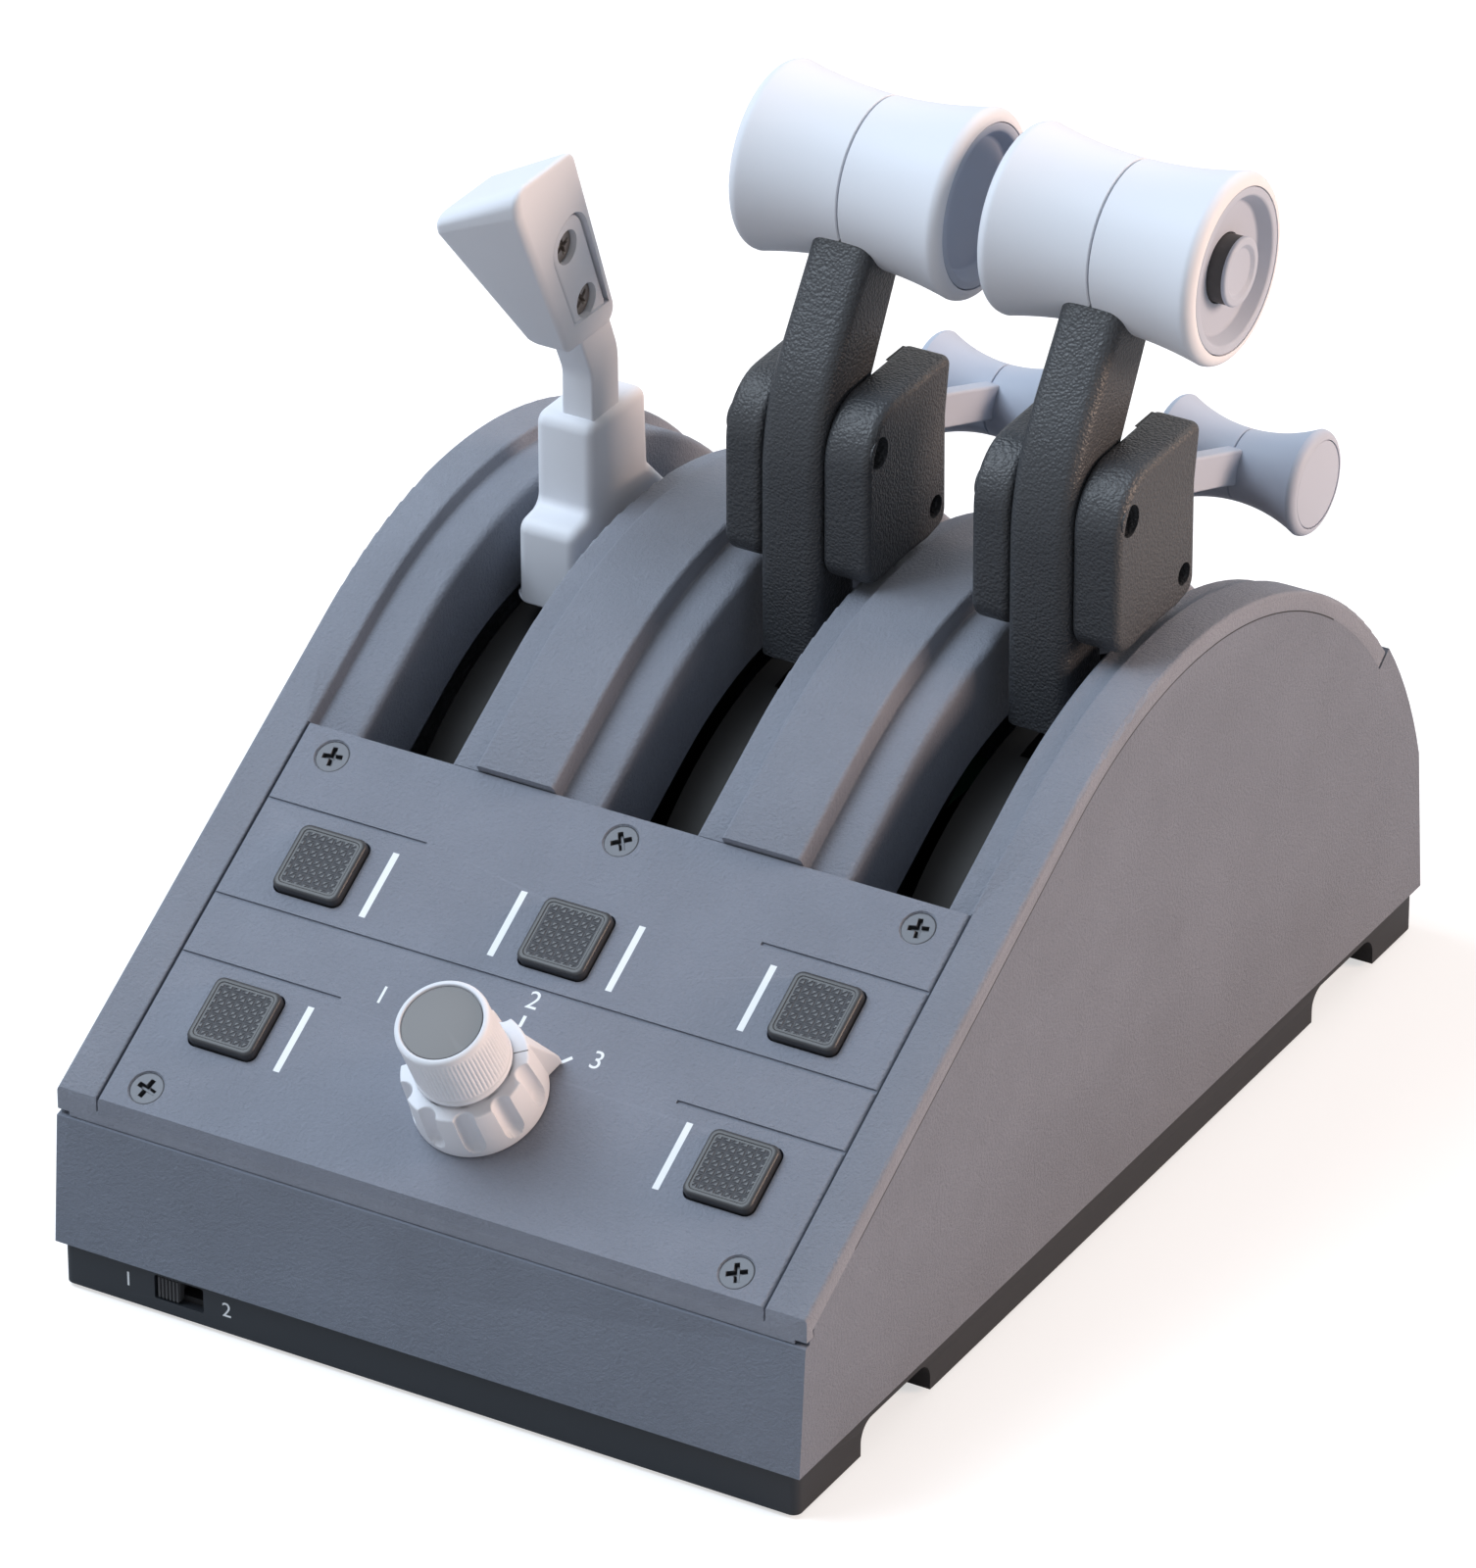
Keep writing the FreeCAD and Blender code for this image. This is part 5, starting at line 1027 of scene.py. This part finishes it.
@dataclass
class Selector:
    """Fluted outer ring with a pointer, knurled push knob and recessed disc."""

    shop: Workshop
    foot: float = 15.0
    top: float = 14.0
    tall: float = 13.3
    knob: float = 10.85
    knob_low: float = 14.1
    knob_high: float = 30.5
    flute: float = 2.35
    flutes: int = 10
    pointer_angle: float = 45.0
    slope: float = SELECTOR_SLOPE

    def build(self) -> None:
        """Build ring, pointer, knob and disc."""
        place = deck_place(self.shop.pivot, 0.0, self.slope).turned(self.pointer_angle)
        self._ring(place)
        self._pointer(place)
        self._knob(place)
        self.shop.dress("selector_shaft", STEEL)

    def _flute_depth(self, axial: np.ndarray, radius: np.ndarray,
                     angle: np.ndarray) -> np.ndarray:
        """Cut of the flutes at each point.

        A flute is a round-ended groove: the cut is the half chord of a circle about the flute's
        middle line, just outside the wall, and below the flute's end it is a sphere's.

        Args:
            axial: Height above the panel.
            radius: Radius of the plain ring.
            angle: Angle from the pointer.

        Returns:
            Change of radius, zero between the flutes and at the pointer.
        """
        pitch = 2 * math.pi / self.flutes
        nearest = np.round(angle / pitch)
        beside = radius * np.sin(angle - nearest * pitch)
        below = np.maximum(4.6 - axial, 0.0)
        reach = self.flute ** 2 - beside ** 2 - below ** 2
        cut = np.sqrt(np.maximum(reach, 0.0)) - 0.3
        cut = np.where((nearest % self.flutes) == 0, 0.0, np.maximum(cut, 0.0))
        outer = np.clip((radius - self.top + 3.0) / 1.2, 0.0, 1.0)
        return -cut * outer

    def _ring(self, place: Place) -> None:
        """Turn the ring and sink its flutes."""
        wall = soft_profile([(0.3, 6.4, 0), (0.3, self.foot, 0.25), (1.4, self.foot, 0.4),
                             (self.tall, self.top, 0.5), (self.tall, 3.1, 0)], 6)
        dense = densify(wall, 0.6)
        ring = lathe("selector_ring_body", dense, axis_up(place), 720, self._flute_depth, 30.0)
        self.shop.add(ring, WHITE, "ring", ("selector_ring",))
        dial = place.turned(-13.0).moved(self.top - 1.6, 0.0, self.tall + 0.01)
        mark = extruded("selector_ring_line", rectangle(1.6, 0.14), -0.05, 0.02, dial)
        self.shop.add(mark, DISC_GREY, "ring", like="selector_ring")

    def _pointer(self, place: Place) -> None:
        """A wedge that falls from the ring's rim to its tip on the panel."""
        inner, tip, low = self.top - 1.6, 18.4, 0.3
        points = np.array([
            [inner, -3.4, low], [inner, 3.4, low], [tip, 0.35, low], [tip, -0.35, low],
            [inner, -2.0, self.tall - 0.25], [inner, 2.0, self.tall - 0.25],
            [self.top + 0.2, 1.5, self.tall - 0.9], [self.top + 0.2, -1.5, self.tall - 0.9],
            [tip, 0.35, 2.4], [tip, -0.35, 2.4],
        ])
        faces = [[0, 1, 2, 3], [4, 7, 6, 5], [7, 9, 8, 6], [0, 3, 9, 7, 4], [1, 5, 6, 8, 2],
                 [2, 8, 9, 3], [0, 4, 5, 1]]
        pointer = new_object("selector_pointer", place.put(points), faces, 25.0)
        soften(pointer, 0.3, 3, 25.0)
        self.shop.add(pointer, WHITE, "ring", like="selector_ring")

    def _knob(self, place: Place) -> None:
        """Turn the knob: a plain foot band, a knurled wall and a smooth raised rim."""
        high, radius = self.knob_high, self.knob
        wall = soft_profile([(self.knob_low, 3.05, 0), (self.knob_low, radius, 0.3),
                             (self.knob_low + 1.3, radius, 0.3),
                             (self.knob_low + 1.6, radius - 0.35, 0.2),
                             (high - 1.9, radius - 0.65, 0.2), (high - 1.6, radius - 0.35, 0.3),
                             (high, radius - 0.5, 1.0), (high, radius - 1.7, 0.35),
                             (high - 0.9, radius - 1.95, 0.2), (high - 0.9, 3.05, 0)], 6)
        dense = densify(wall, 1.2)

        def knurl(axial: np.ndarray, turned: np.ndarray, angle: np.ndarray) -> np.ndarray:
            """Fine upright ribs between the foot band and the rim."""
            ribbed = np.clip((axial - self.knob_low - 1.7) / 0.3, 0, 1)
            ribbed = ribbed * np.clip((high - 2.0 - axial) / 0.3, 0, 1) * (turned > radius - 1.0)
            return ribbed * 0.22 * np.abs(np.cos(angle * 36.0))

        knob = lathe("selector_knob_body", dense, axis_up(place), 900, knurl, 50.0)
        self.shop.add(knob, WHITE, "knob", ("selector_knob",))
        edge = soft_profile([(high - 0.9, 0.0, 0), (high - 0.9, radius - 2.0, 0),
                             (high - 0.35, radius - 2.0, 0.2), (high - 0.35, 0.0, 0)], 4)
        disc = lathe("selector_disc", edge, axis_up(place), 96)
        self.shop.add(disc, DISC_GREY, "knob", ("selector_cap",))


def closed_line(outline: np.ndarray) -> np.ndarray:
    """Return an outline with its first point repeated at the end."""
    return np.concatenate([outline, outline[:1]])


def even_steps(line: np.ndarray, count: int) -> np.ndarray:
    """Return points evenly spaced along a polyline."""
    lengths = np.linalg.norm(np.diff(line, axis=0), axis=1)
    travelled = np.concatenate([[0.0], np.cumsum(lengths)])
    wanted = np.linspace(0, travelled[-1], count)
    return np.stack([np.interp(wanted, travelled, line[:, axis]) for axis in (0, 1)], axis=1)


def densify(line: np.ndarray, step: float) -> np.ndarray:
    """Return a polyline with extra points so that no run is longer than step."""
    lengths = np.linalg.norm(np.diff(line, axis=0), axis=1)
    counts = np.maximum(np.ceil(lengths / step).astype(int), 1)
    runs = [line[i] + (line[i + 1] - line[i]) * np.linspace(0, 1, counts[i], endpoint=False)[:, None]
            for i in range(len(counts))]
    return np.concatenate(runs + [line[-1:]])


@dataclass
class TurnedGrip:
    """A waisted grip in two halves that meet at its middle, along X."""

    length: float
    end: float
    waist: float
    cap: float
    rim: float
    seam: float = 0.16

    def half(self, name: str, place: Place, side: int) -> bpy.types.Object:
        """Turn one half.

        Its radius follows a circle that is level at the waist; the end turns over a quarter
        circle, and a shallow chamfer marks the joint at the middle.

        Args:
            name: Name of the piece.
            place: Frame at the grip's centre.
            side: 1 for the right half, -1 for the left.

        Returns:
            The half.
        """
        flare = self.length / 2 - self.rim
        bend = (flare ** 2 + (self.end - self.waist) ** 2) / (2 * (self.end - self.waist))
        axial = np.linspace(self.seam + 0.2, flare, 40)
        radius = self.waist + bend - np.sqrt(bend ** 2 - axial ** 2)
        body = np.column_stack([axial, radius])
        turn = np.linspace(0, math.pi / 2, 10)[1:]
        rim = np.column_stack([flare + self.rim * np.sin(turn),
                               self.end - self.rim + self.rim * np.cos(turn)])
        seat = self.length / 2
        inner = np.array([[seat, self.cap + 0.12], [seat - 0.6, self.cap + 0.1],
                          [seat - 5.0, self.cap + 0.1]])
        start = np.array([[self.seam, self.waist - 3.0], [self.seam, self.waist - 0.3]])
        profile = np.concatenate([start, body, rim, inner]) * [side, 1.0]
        return lathe(name, profile, place, 160, sharp=30.0)


@dataclass
class ThrottleLever:
    """One throttle lever: arm, shells, thrust grip, end caps and thumb button."""

    shop: Workshop
    side: str
    thumb: int
    grip_y: float = 18.1
    grip_z: float = 191.5
    half_length: float = 26.0
    recess: float = 14.75
    depth: float = 3.3
    button: float = 7.7
    front: float = -21.2
    back: float = -5.1
    half_width: float = 7.5
    notch: float = 2.6
    hinge_y: float = 14.4
    hinge_z: float = 144.8
    shell_front: float = -19.6
    shell_foot: float = 113.6

    def build(self) -> None:
        """Build every visible piece of the lever."""
        name, shop = f"throttle_{self.side}", self.shop
        # The hub drum is near-black, darker than its plastic: painted shade inside the slot.
        shop.dress(f"{name}_hub", GAP_AND_SHADE_BLACK)
        shop.dress(f"{name}_screws", SCREW)
        shop.dress(f"reverse_{self.side}_pin", STEEL)
        low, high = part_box(f"{name}_arm")
        across = (low.x + high.x) / 2 / MM
        axle = upright([across, shop.pivot[1], shop.pivot[2]])
        self._arm(name, axle)
        self._shells(name, axle)
        place = axle.moved(0.0, self.grip_y, self.grip_z)
        grip = TurnedGrip(2 * self.half_length, 21.3, 18.5, 18.4, 2.5)
        for hand, sign in (("a", -1), ("b", 1)):
            piece = grip.half(f"{name}_grip_{hand}_skin", place, sign)
            shop.add(piece, WHITE, name, (f"{name}_grip_{hand}",))
        for sign in (-1, 1):
            self._cap(name, place, sign)
        self._thumb(name, place)

    def _arm(self, name: str, axle: Place) -> None:
        """Loft the arm along its front and back lines, round at the front corners.

        Both lines are straight runs joined by a large arc.  Stations are spaced evenly along
        each, and the section between them is a rounded box with a notch for the reverse bar.
        """
        front = even_steps(soft_profile([(self.front, 92.0, 0), (self.front, 151.4, 50.0),
                                         (9.6, 195.8, 0)], 20), 60)
        back = even_steps(soft_profile([(self.back, 92.0, 0), (self.back, 138.9, 30.0),
                                        (21.5, 187.9, 0)], 20), 60)
        rings = []
        for fore, aft in zip(front, back):
            depth = float(np.linalg.norm(aft - fore))
            floor = depth - 0.02
            if abs(aft[1] - self.hinge_z - 3.0) < 13.0:
                floor = 3.0
            w, s = self.half_width, self.notch
            section = soft_profile([(-w, 0.0, 3.2), (w, 0.0, 3.2), (w, depth, 1.0),
                                    (s, depth, 0), (s, floor, 0), (-s, floor, 0),
                                    (-s, depth, 0), (-w, depth, 1.0)], 6, closed=True)
            line = fore + (aft - fore) * (section[:, 1:] / depth)
            rings.append(np.column_stack([section[:, :1], line]))
        count = len(rings[0])
        faces = grid_quads(len(rings), count).tolist() + end_faces(len(rings), count)
        piece = new_object(f"{name}_arm_skin", axle.put(np.concatenate(rings)), faces, 40.0)
        self.shop.add(piece, LEVER, name, (f"{name}_arm",))

    def _shells(self, name: str, axle: Place) -> None:
        """Two cheeks beside the arm: a big round at the front top and two blind holes."""
        foot = self.shell_foot
        arc = np.linspace(math.radians(98.0), math.radians(84.5), 9)
        under = [(foot * math.cos(a), foot * math.sin(a), 0.0) for a in arc[1:-1]]
        outline = soft_profile([(self.shell_front, 154.3, 13.5), (self.shell_front, 113.6, 5.5),
                                *under, (15.6, 114.6, 4.5), (15.4, 141.0, 20.0),
                                (17.6, 154.9, 2.4)], 10, closed=True)
        holes = (Recess(circle((-self.hinge_y, self.hinge_z), 3.65), 5.0),
                 Recess(circle((10.3, 120.5), 2.65), 5.0))
        for hand, sign, thick in (("b", 1.0, 11.5), ("a", -1.0, 9.4)):
            place = Place(axle.origin, axle.across * sign, axle.forward, axle.up)
            start = self.half_width + 0.05
            piece = rounded_prism(f"{name}_shell_{hand}_skin", outline, start,
                                  self.half_width + thick, 1.9, place, holes)
            self.shop.add(piece, LEVER, name, (f"{name}_shell_{hand}",))
            # A thin near-black sheet on the cheek's top: painted shade standing in for a recess.
            inset = soft_profile([(start, 8.0, 0), (start + 0.6 * thick, 8.0, 0.5),
                                  (start + 0.6 * thick, 15.6, 0.5), (start, 15.6, 0)], 4, True)
            top = extruded(f"{name}_inset_{hand}", inset, 154.2, 154.36, place)
            self.shop.add(top, GAP_AND_SHADE_BLACK, name, like=f"{name}_shell_{hand}")

    def _cap(self, name: str, place: Place, sign: int) -> None:
        """A dished cap: flat outer ring, conical wall and floor, open for the button."""
        end = self.half_length
        hole = self.button + 0.15 if sign == self.thumb else 0.0
        profile = soft_profile([(end - 5.7, 18.3, 0), (end - 0.05, 18.3, 0.25),
                                (end - 0.05, self.recess + 1.7, 0.8),
                                (end - self.depth, self.recess, 0.9),
                                (end - self.depth, hole, 0.0)], 6)
        profile = np.concatenate([profile, [[end - 5.7, hole], [end - 5.7, 18.3]]])
        piece = lathe(f"{name}_cap_{'right' if sign > 0 else 'left'}", profile * [sign, 1.0],
                      place, 128, sharp=30.0)
        cover = (f"{name}_caps",) if sign > 0 else ()
        # Painted shade: the cap takes the darker copy of the grip white.
        self.shop.add(piece, SHADED_WHITE, name, cover, f"{name}_caps")

    def _thumb(self, name: str, place: Place) -> None:
        """A black barrel with a pale, slightly hollow face inside its rim."""
        front, radius, sign = self.half_length + 1.1, self.button, self.thumb
        barrel = soft_profile([(front - 16.0, 0.0, 0), (front - 16.0, radius - 0.15, 0),
                               (front - 0.9, radius - 0.15, 0.2), (front - 0.9, 0.0, 0)], 4)
        piece = lathe(f"{name}_thumb_barrel", barrel * [sign, 1.0], place, 96)
        self.shop.add(piece, THUMB, f"thumb_{self.side}", (f"{name}_button",))
        face = soft_profile([(front - 0.95, 0.0, 0), (front - 0.95, radius, 0),
                             (front, radius, 0.6), (front, radius - 1.7, 0.5),
                             (front - 0.75, radius - 2.6, 0.6), (front - 0.9, 0.0, 0)], 6)
        cap = lathe(f"{name}_thumb_face", face * [sign, 1.0], place, 96)
        # Painted shade: the thumb face takes the darker copy of the grip white.
        self.shop.add(cap, SHADED_WHITE, f"thumb_{self.side}", like=f"{name}_caps")


@dataclass
class ReverseLever:
    """One reverse lever: bar and a small waisted grip with end discs."""

    shop: Workshop
    side: str
    hinge_y: float = -14.4
    hinge_z: float = 144.8
    length: float = 94.3
    droop: float = math.radians(20.03)

    def build(self) -> None:
        """Build bar, grip halves and discs."""
        name, shop = f"reverse_{self.side}", self.shop
        # Painted shade: the bar takes the darker copy of the grip white.
        shop.soft_copy(f"{name}_bar", SHADED_WHITE, 0.7, 2, 40.0)
        low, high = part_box(f"{name}_bar")
        across = (low.x + high.x) / 2 / MM
        centre = shop.pivot + [across - shop.pivot[0],
                               self.hinge_y + self.length * math.cos(self.droop),
                               self.hinge_z - self.length * math.sin(self.droop)]
        place = upright(centre)
        grip = TurnedGrip(36.6, 12.1, 8.2, 10.0, 2.0, 0.06)
        for hand, sign in (("a", -1), ("b", 1)):
            piece = grip.half(f"{name}_grip_{hand}", place, sign)
            cover = (f"{name}_grips",) if sign > 0 else ()
            # Painted shade: grip halves and discs take the darker copy of the grip white.
            shop.add(piece, SHADED_WHITE, name, cover, f"{name}_grips")
            disc = soft_profile([(13.5, 0.0, 0), (13.5, 9.95, 0), (18.25, 9.95, 0.3),
                                 (18.2, 0.0, 0)], 4) * [sign, 1.0]
            cap = lathe(f"{name}_disc_{hand}", disc, place, 96)
            cover = (f"{name}_caps",) if sign > 0 else ()
            shop.add(cap, SHADED_WHITE, name, cover, f"{name}_caps")


@dataclass
class SpeedBrake:
    """Speed brake lever: stepped block, leaning neck, wedge-shaped handle and two screws."""

    shop: Workshop
    half_width: float = 7.4
    round: float = 2.4
    neck_left: float = -1.9
    neck_right: float = 6.1
    handle_right: float = 6.8
    handle_wide: float = 21.0
    screws: tuple[tuple[float, float], ...] = ((-20.7, 178.1), (-13.0, 162.0))

    def build(self) -> None:
        """Build the lever."""
        shop = self.shop
        low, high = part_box("speed_brake_arm")
        axle = upright([(low.x + high.x) / 2 / MM, shop.pivot[1], shop.pivot[2]])
        self._block(axle)
        self._neck(axle)
        self._handle(axle)
        # The hub drum is near-black, darker than its plastic: painted shade inside the slot.
        shop.dress("speed_brake_hub", GAP_AND_SHADE_BLACK)
        self._screws(axle)

    def _block(self, axle: Place) -> None:
        """Side view of the block with its two steps, rounded along both sides."""
        outline = soft_profile([(-21.3, 88.0, 0.5), (18.0, 88.0, 0.5), (20.0, 103.0, 2.9),
                                (11.2, 112.0, 3.0), (10.3, 131.5, 3.0), (-13.4, 131.5, 3.2),
                                (-13.4, 109.4, 2.5), (-21.3, 108.2, 3.4)], 8, closed=True)
        piece = rounded_prism("speed_brake_block", outline, -self.half_width, self.half_width,
                              self.round, axle)
        self.shop.add(piece, WHITE, "speed_brake", ("speed_brake_arm",))

    def _neck_outline(self, grow: float = 0.0) -> np.ndarray:
        """Side view of the neck, wider by the growth on every side."""
        lean = math.radians(24.5)
        tip = np.array([-10.7 - 43.0 * math.sin(lean), 142.3 + 43.0 * math.cos(lean)])
        back = tip + 13.0 * np.array([math.cos(lean), math.sin(lean)])
        outline = soft_profile([(-10.7, 128.0, 0), (0.5, 128.0, 0), (0.5, 144.7, 16.0),
                                (*back, 5.5), (*tip, 5.5), (-10.7, 142.3, 8.0)], 10, closed=True)
        outline = anticlockwise(outline)
        return outline + outward(outline) * grow

    def _neck(self, axle: Place) -> None:
        """The neck, with a counterbore for each screw in its right side."""
        holes = tuple(Recess(circle(spot, 4.0), 2.9) for spot in self.screws)
        piece = rounded_prism("speed_brake_neck", self._neck_outline(), self.neck_left,
                              self.neck_right, 0.7, axle, holes)
        self.shop.add(piece, WHITE, "speed_brake", like="speed_brake_handle")

    def _handle(self, axle: Place) -> None:
        """A prism whose left side draws in towards the bottom and whose top falls to the left.

        The left side moves in by about a quarter of the depth below its shoulder and follows an
        ellipse at the bottom; the top falls in proportion to the distance from the right side.
        """
        outline = soft_profile([(-22.3, 152.9, 3.4), (-0.6, 152.9, 3.4), (-18.4, 201.2, 4.4),
                                (-42.8, 201.2, 4.0), (-41.6, 194.0, 5.0)], 10, closed=True)
        right, wide = self.handle_right, self.handle_wide
        slot = even_steps(closed_line(self._neck_outline(0.9)), 160)
        slot = slot[slot[:, 1] > 157.6]

        def wedge(points: np.ndarray) -> np.ndarray:
            """Draw in the left side and lower the top towards it."""
            x, y, z = points.T
            share = (right - x) / wide
            width = 1.0 - np.clip((187.0 - z) / 38.0, 0.0, 1.0) * 10.0 / wide
            end = np.clip((161.0 - z) / 8.2, 0.0, 1.0)
            width = width * (0.4 + 0.6 * np.sqrt(1.0 - end ** 2))
            drop = 11.5 * share * np.clip((z - 170.0) / 31.2, 0.0, 1.0)
            return np.stack([right - share * wide * width, y, z - drop], axis=1)

        piece = rounded_prism("speed_brake_grip", outline, right - wide, right, 1.7, axle,
                              (Recess(slot, 5.0),), wedge)
        self.shop.add(piece, WHITE, "speed_brake", ("speed_brake_handle",))

    def _screws(self, axle: Place) -> None:
        """Two cross-headed screws at the bottom of their counterbores."""
        for number, (y, z) in enumerate(self.screws, start=1):
            spot = axle.moved(self.neck_right - 1.3, y, z)
            place = Place(spot.origin, spot.forward, spot.up, spot.across).turned(20.0 * number)
            piece = screw_head(f"handle_screw_{number}", place, 3.6, 1.5)
            cover = ("speed_brake_screws",) if number == 1 else ()
            self.shop.add(piece, HANDLE_SCREW, "speed_brake", cover,
                          "speed_brake_screws")


@dataclass
class Studio:
    """Floor, world, lamps and camera."""

    eye: tuple[float, float, float] = (0.98922, -1.69489, 1.20335)
    azimuth: float = 30.39
    elevation: float = 29.763
    roll: float = -0.1235
    lens: float = 238.64

    def build(self) -> None:
        """Build everything that is not part of the object."""
        bpy.context.scene.view_settings.view_transform = "Standard"
        self._world()
        self._floor()
        self._lamp("key", (-1.1, -0.55, 2.0), 1.5, 58.0, (0.78, 0.89, 1.0))
        self._lamp("warm", (2.1, 0.8, 0.7), 0.9, 56.0, (1.0, 0.72, 0.56))
        self._lamp("rim", (0.4, 1.9, 1.5), 1.2, 9.0, (1.0, 0.95, 0.90))
        self._camera()

    def _world(self) -> None:
        """White to the camera and in reflections, plain soft grey light otherwise."""
        world = bpy.data.worlds.new("studio")
        bpy.context.scene.world = world
        world.use_nodes = True
        nodes, links = world.node_tree.nodes, world.node_tree.links
        background = nodes["Background"]
        path = nodes.new("ShaderNodeLightPath")
        seen = path.outputs["Is Camera Ray"]
        for name in ("Is Glossy Ray", "Is Transmission Ray"):
            either = nodes.new("ShaderNodeMath")
            either.operation = "MAXIMUM"
            links.new(seen, either.inputs[0])
            links.new(path.outputs[name], either.inputs[1])
            seen = either.outputs[0]
        strength = nodes.new("ShaderNodeMapRange")
        strength.inputs["To Min"].default_value = 0.28
        strength.inputs["To Max"].default_value = 1.0
        links.new(seen, strength.inputs["Value"])
        links.new(strength.outputs["Result"], background.inputs["Strength"])
        background.inputs["Color"].default_value = (0.97, 0.985, 1.0, 1.0)

    def _floor(self) -> None:
        """A wide pale floor that keeps the object's shadow."""
        mesh = bpy.data.meshes.new("floor")
        mesh.from_pydata([(-6, -6, 0), (6, -6, 0), (6, 6, 0), (-6, 6, 0)], [], [(0, 1, 2, 3)])
        floor = bpy.data.objects.new("floor", mesh)
        bpy.context.scene.collection.objects.link(floor)
        material = bpy.data.materials.new("floor_pale")
        material.use_nodes = True
        nodes, links = material.node_tree.nodes, material.node_tree.links
        shader = nodes["Principled BSDF"]
        shader.inputs["Base Color"].default_value = (0.55, 0.55, 0.56, 1.0)
        shader.inputs["Roughness"].default_value = 0.9
        shader.inputs["Specular IOR Level"].default_value = 0.0
        glow = nodes.new("ShaderNodeLightPath")
        shader.inputs["Emission Color"].default_value = (1.0, 1.0, 1.0, 1.0)
        lift = nodes.new("ShaderNodeMath")
        lift.operation = "MULTIPLY"
        lift.inputs[1].default_value = 0.60
        links.new(glow.outputs["Is Camera Ray"], lift.inputs[0])
        links.new(lift.outputs[0], shader.inputs["Emission Strength"])
        mesh.materials.append(material)

    def _lamp(self, name: str, where: tuple[float, float, float], size: float, power: float,
              colour: tuple[float, float, float]) -> None:
        """Add a square area lamp that looks at the object."""
        data = bpy.data.lights.new(name, "AREA")
        data.size = size
        data.energy = power
        data.color = colour
        lamp = bpy.data.objects.new(name, data)
        bpy.context.scene.collection.objects.link(lamp)
        aim = Vector((0.0, 0.0, 0.1)) - Vector(where)
        lamp.matrix_world = (Matrix.Translation(where)
                             @ aim.to_track_quat("-Z", "Y").to_matrix().to_4x4())

    def _camera(self) -> None:
        """Place the camera from its azimuth, elevation and roll."""
        a, e, roll = (math.radians(value) for value in (self.azimuth, self.elevation, self.roll))
        back = Vector((math.sin(a) * math.cos(e), -math.cos(a) * math.cos(e), math.sin(e)))
        right = Vector((math.cos(a), math.sin(a), 0.0))
        up = right.cross(-back)
        level = math.cos(roll) * right + math.sin(roll) * up
        rise = -math.sin(roll) * right + math.cos(roll) * up
        data = bpy.data.cameras.new("camera")
        data.lens = self.lens
        data.sensor_width = 36.0
        data.clip_start, data.clip_end = 0.05, 50.0
        camera = bpy.data.objects.new("camera", data)
        bpy.context.scene.collection.objects.link(camera)
        turn = Matrix((level, rise, back)).transposed().to_4x4()
        camera.matrix_world = Matrix.Translation(self.eye) @ turn
        bpy.context.scene.camera = camera


def main() -> None:
    """Build the whole model in order."""
    logging.basicConfig(level=logging.INFO, format="%(name)s: %(message)s")
    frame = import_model()
    shop = Workshop(frame)
    Housing(shop).build()
    ControlPanel(shop).build()
    PushButtons(shop).build()
    Selector(shop).build()
    ThrottleLever(shop, "left", -1).build()
    ThrottleLever(shop, "right", 1).build()
    ReverseLever(shop, "left").build()
    ReverseLever(shop, "right").build()
    SpeedBrake(shop).build()
    Studio().build()


if __name__ == "__main__":
    main()
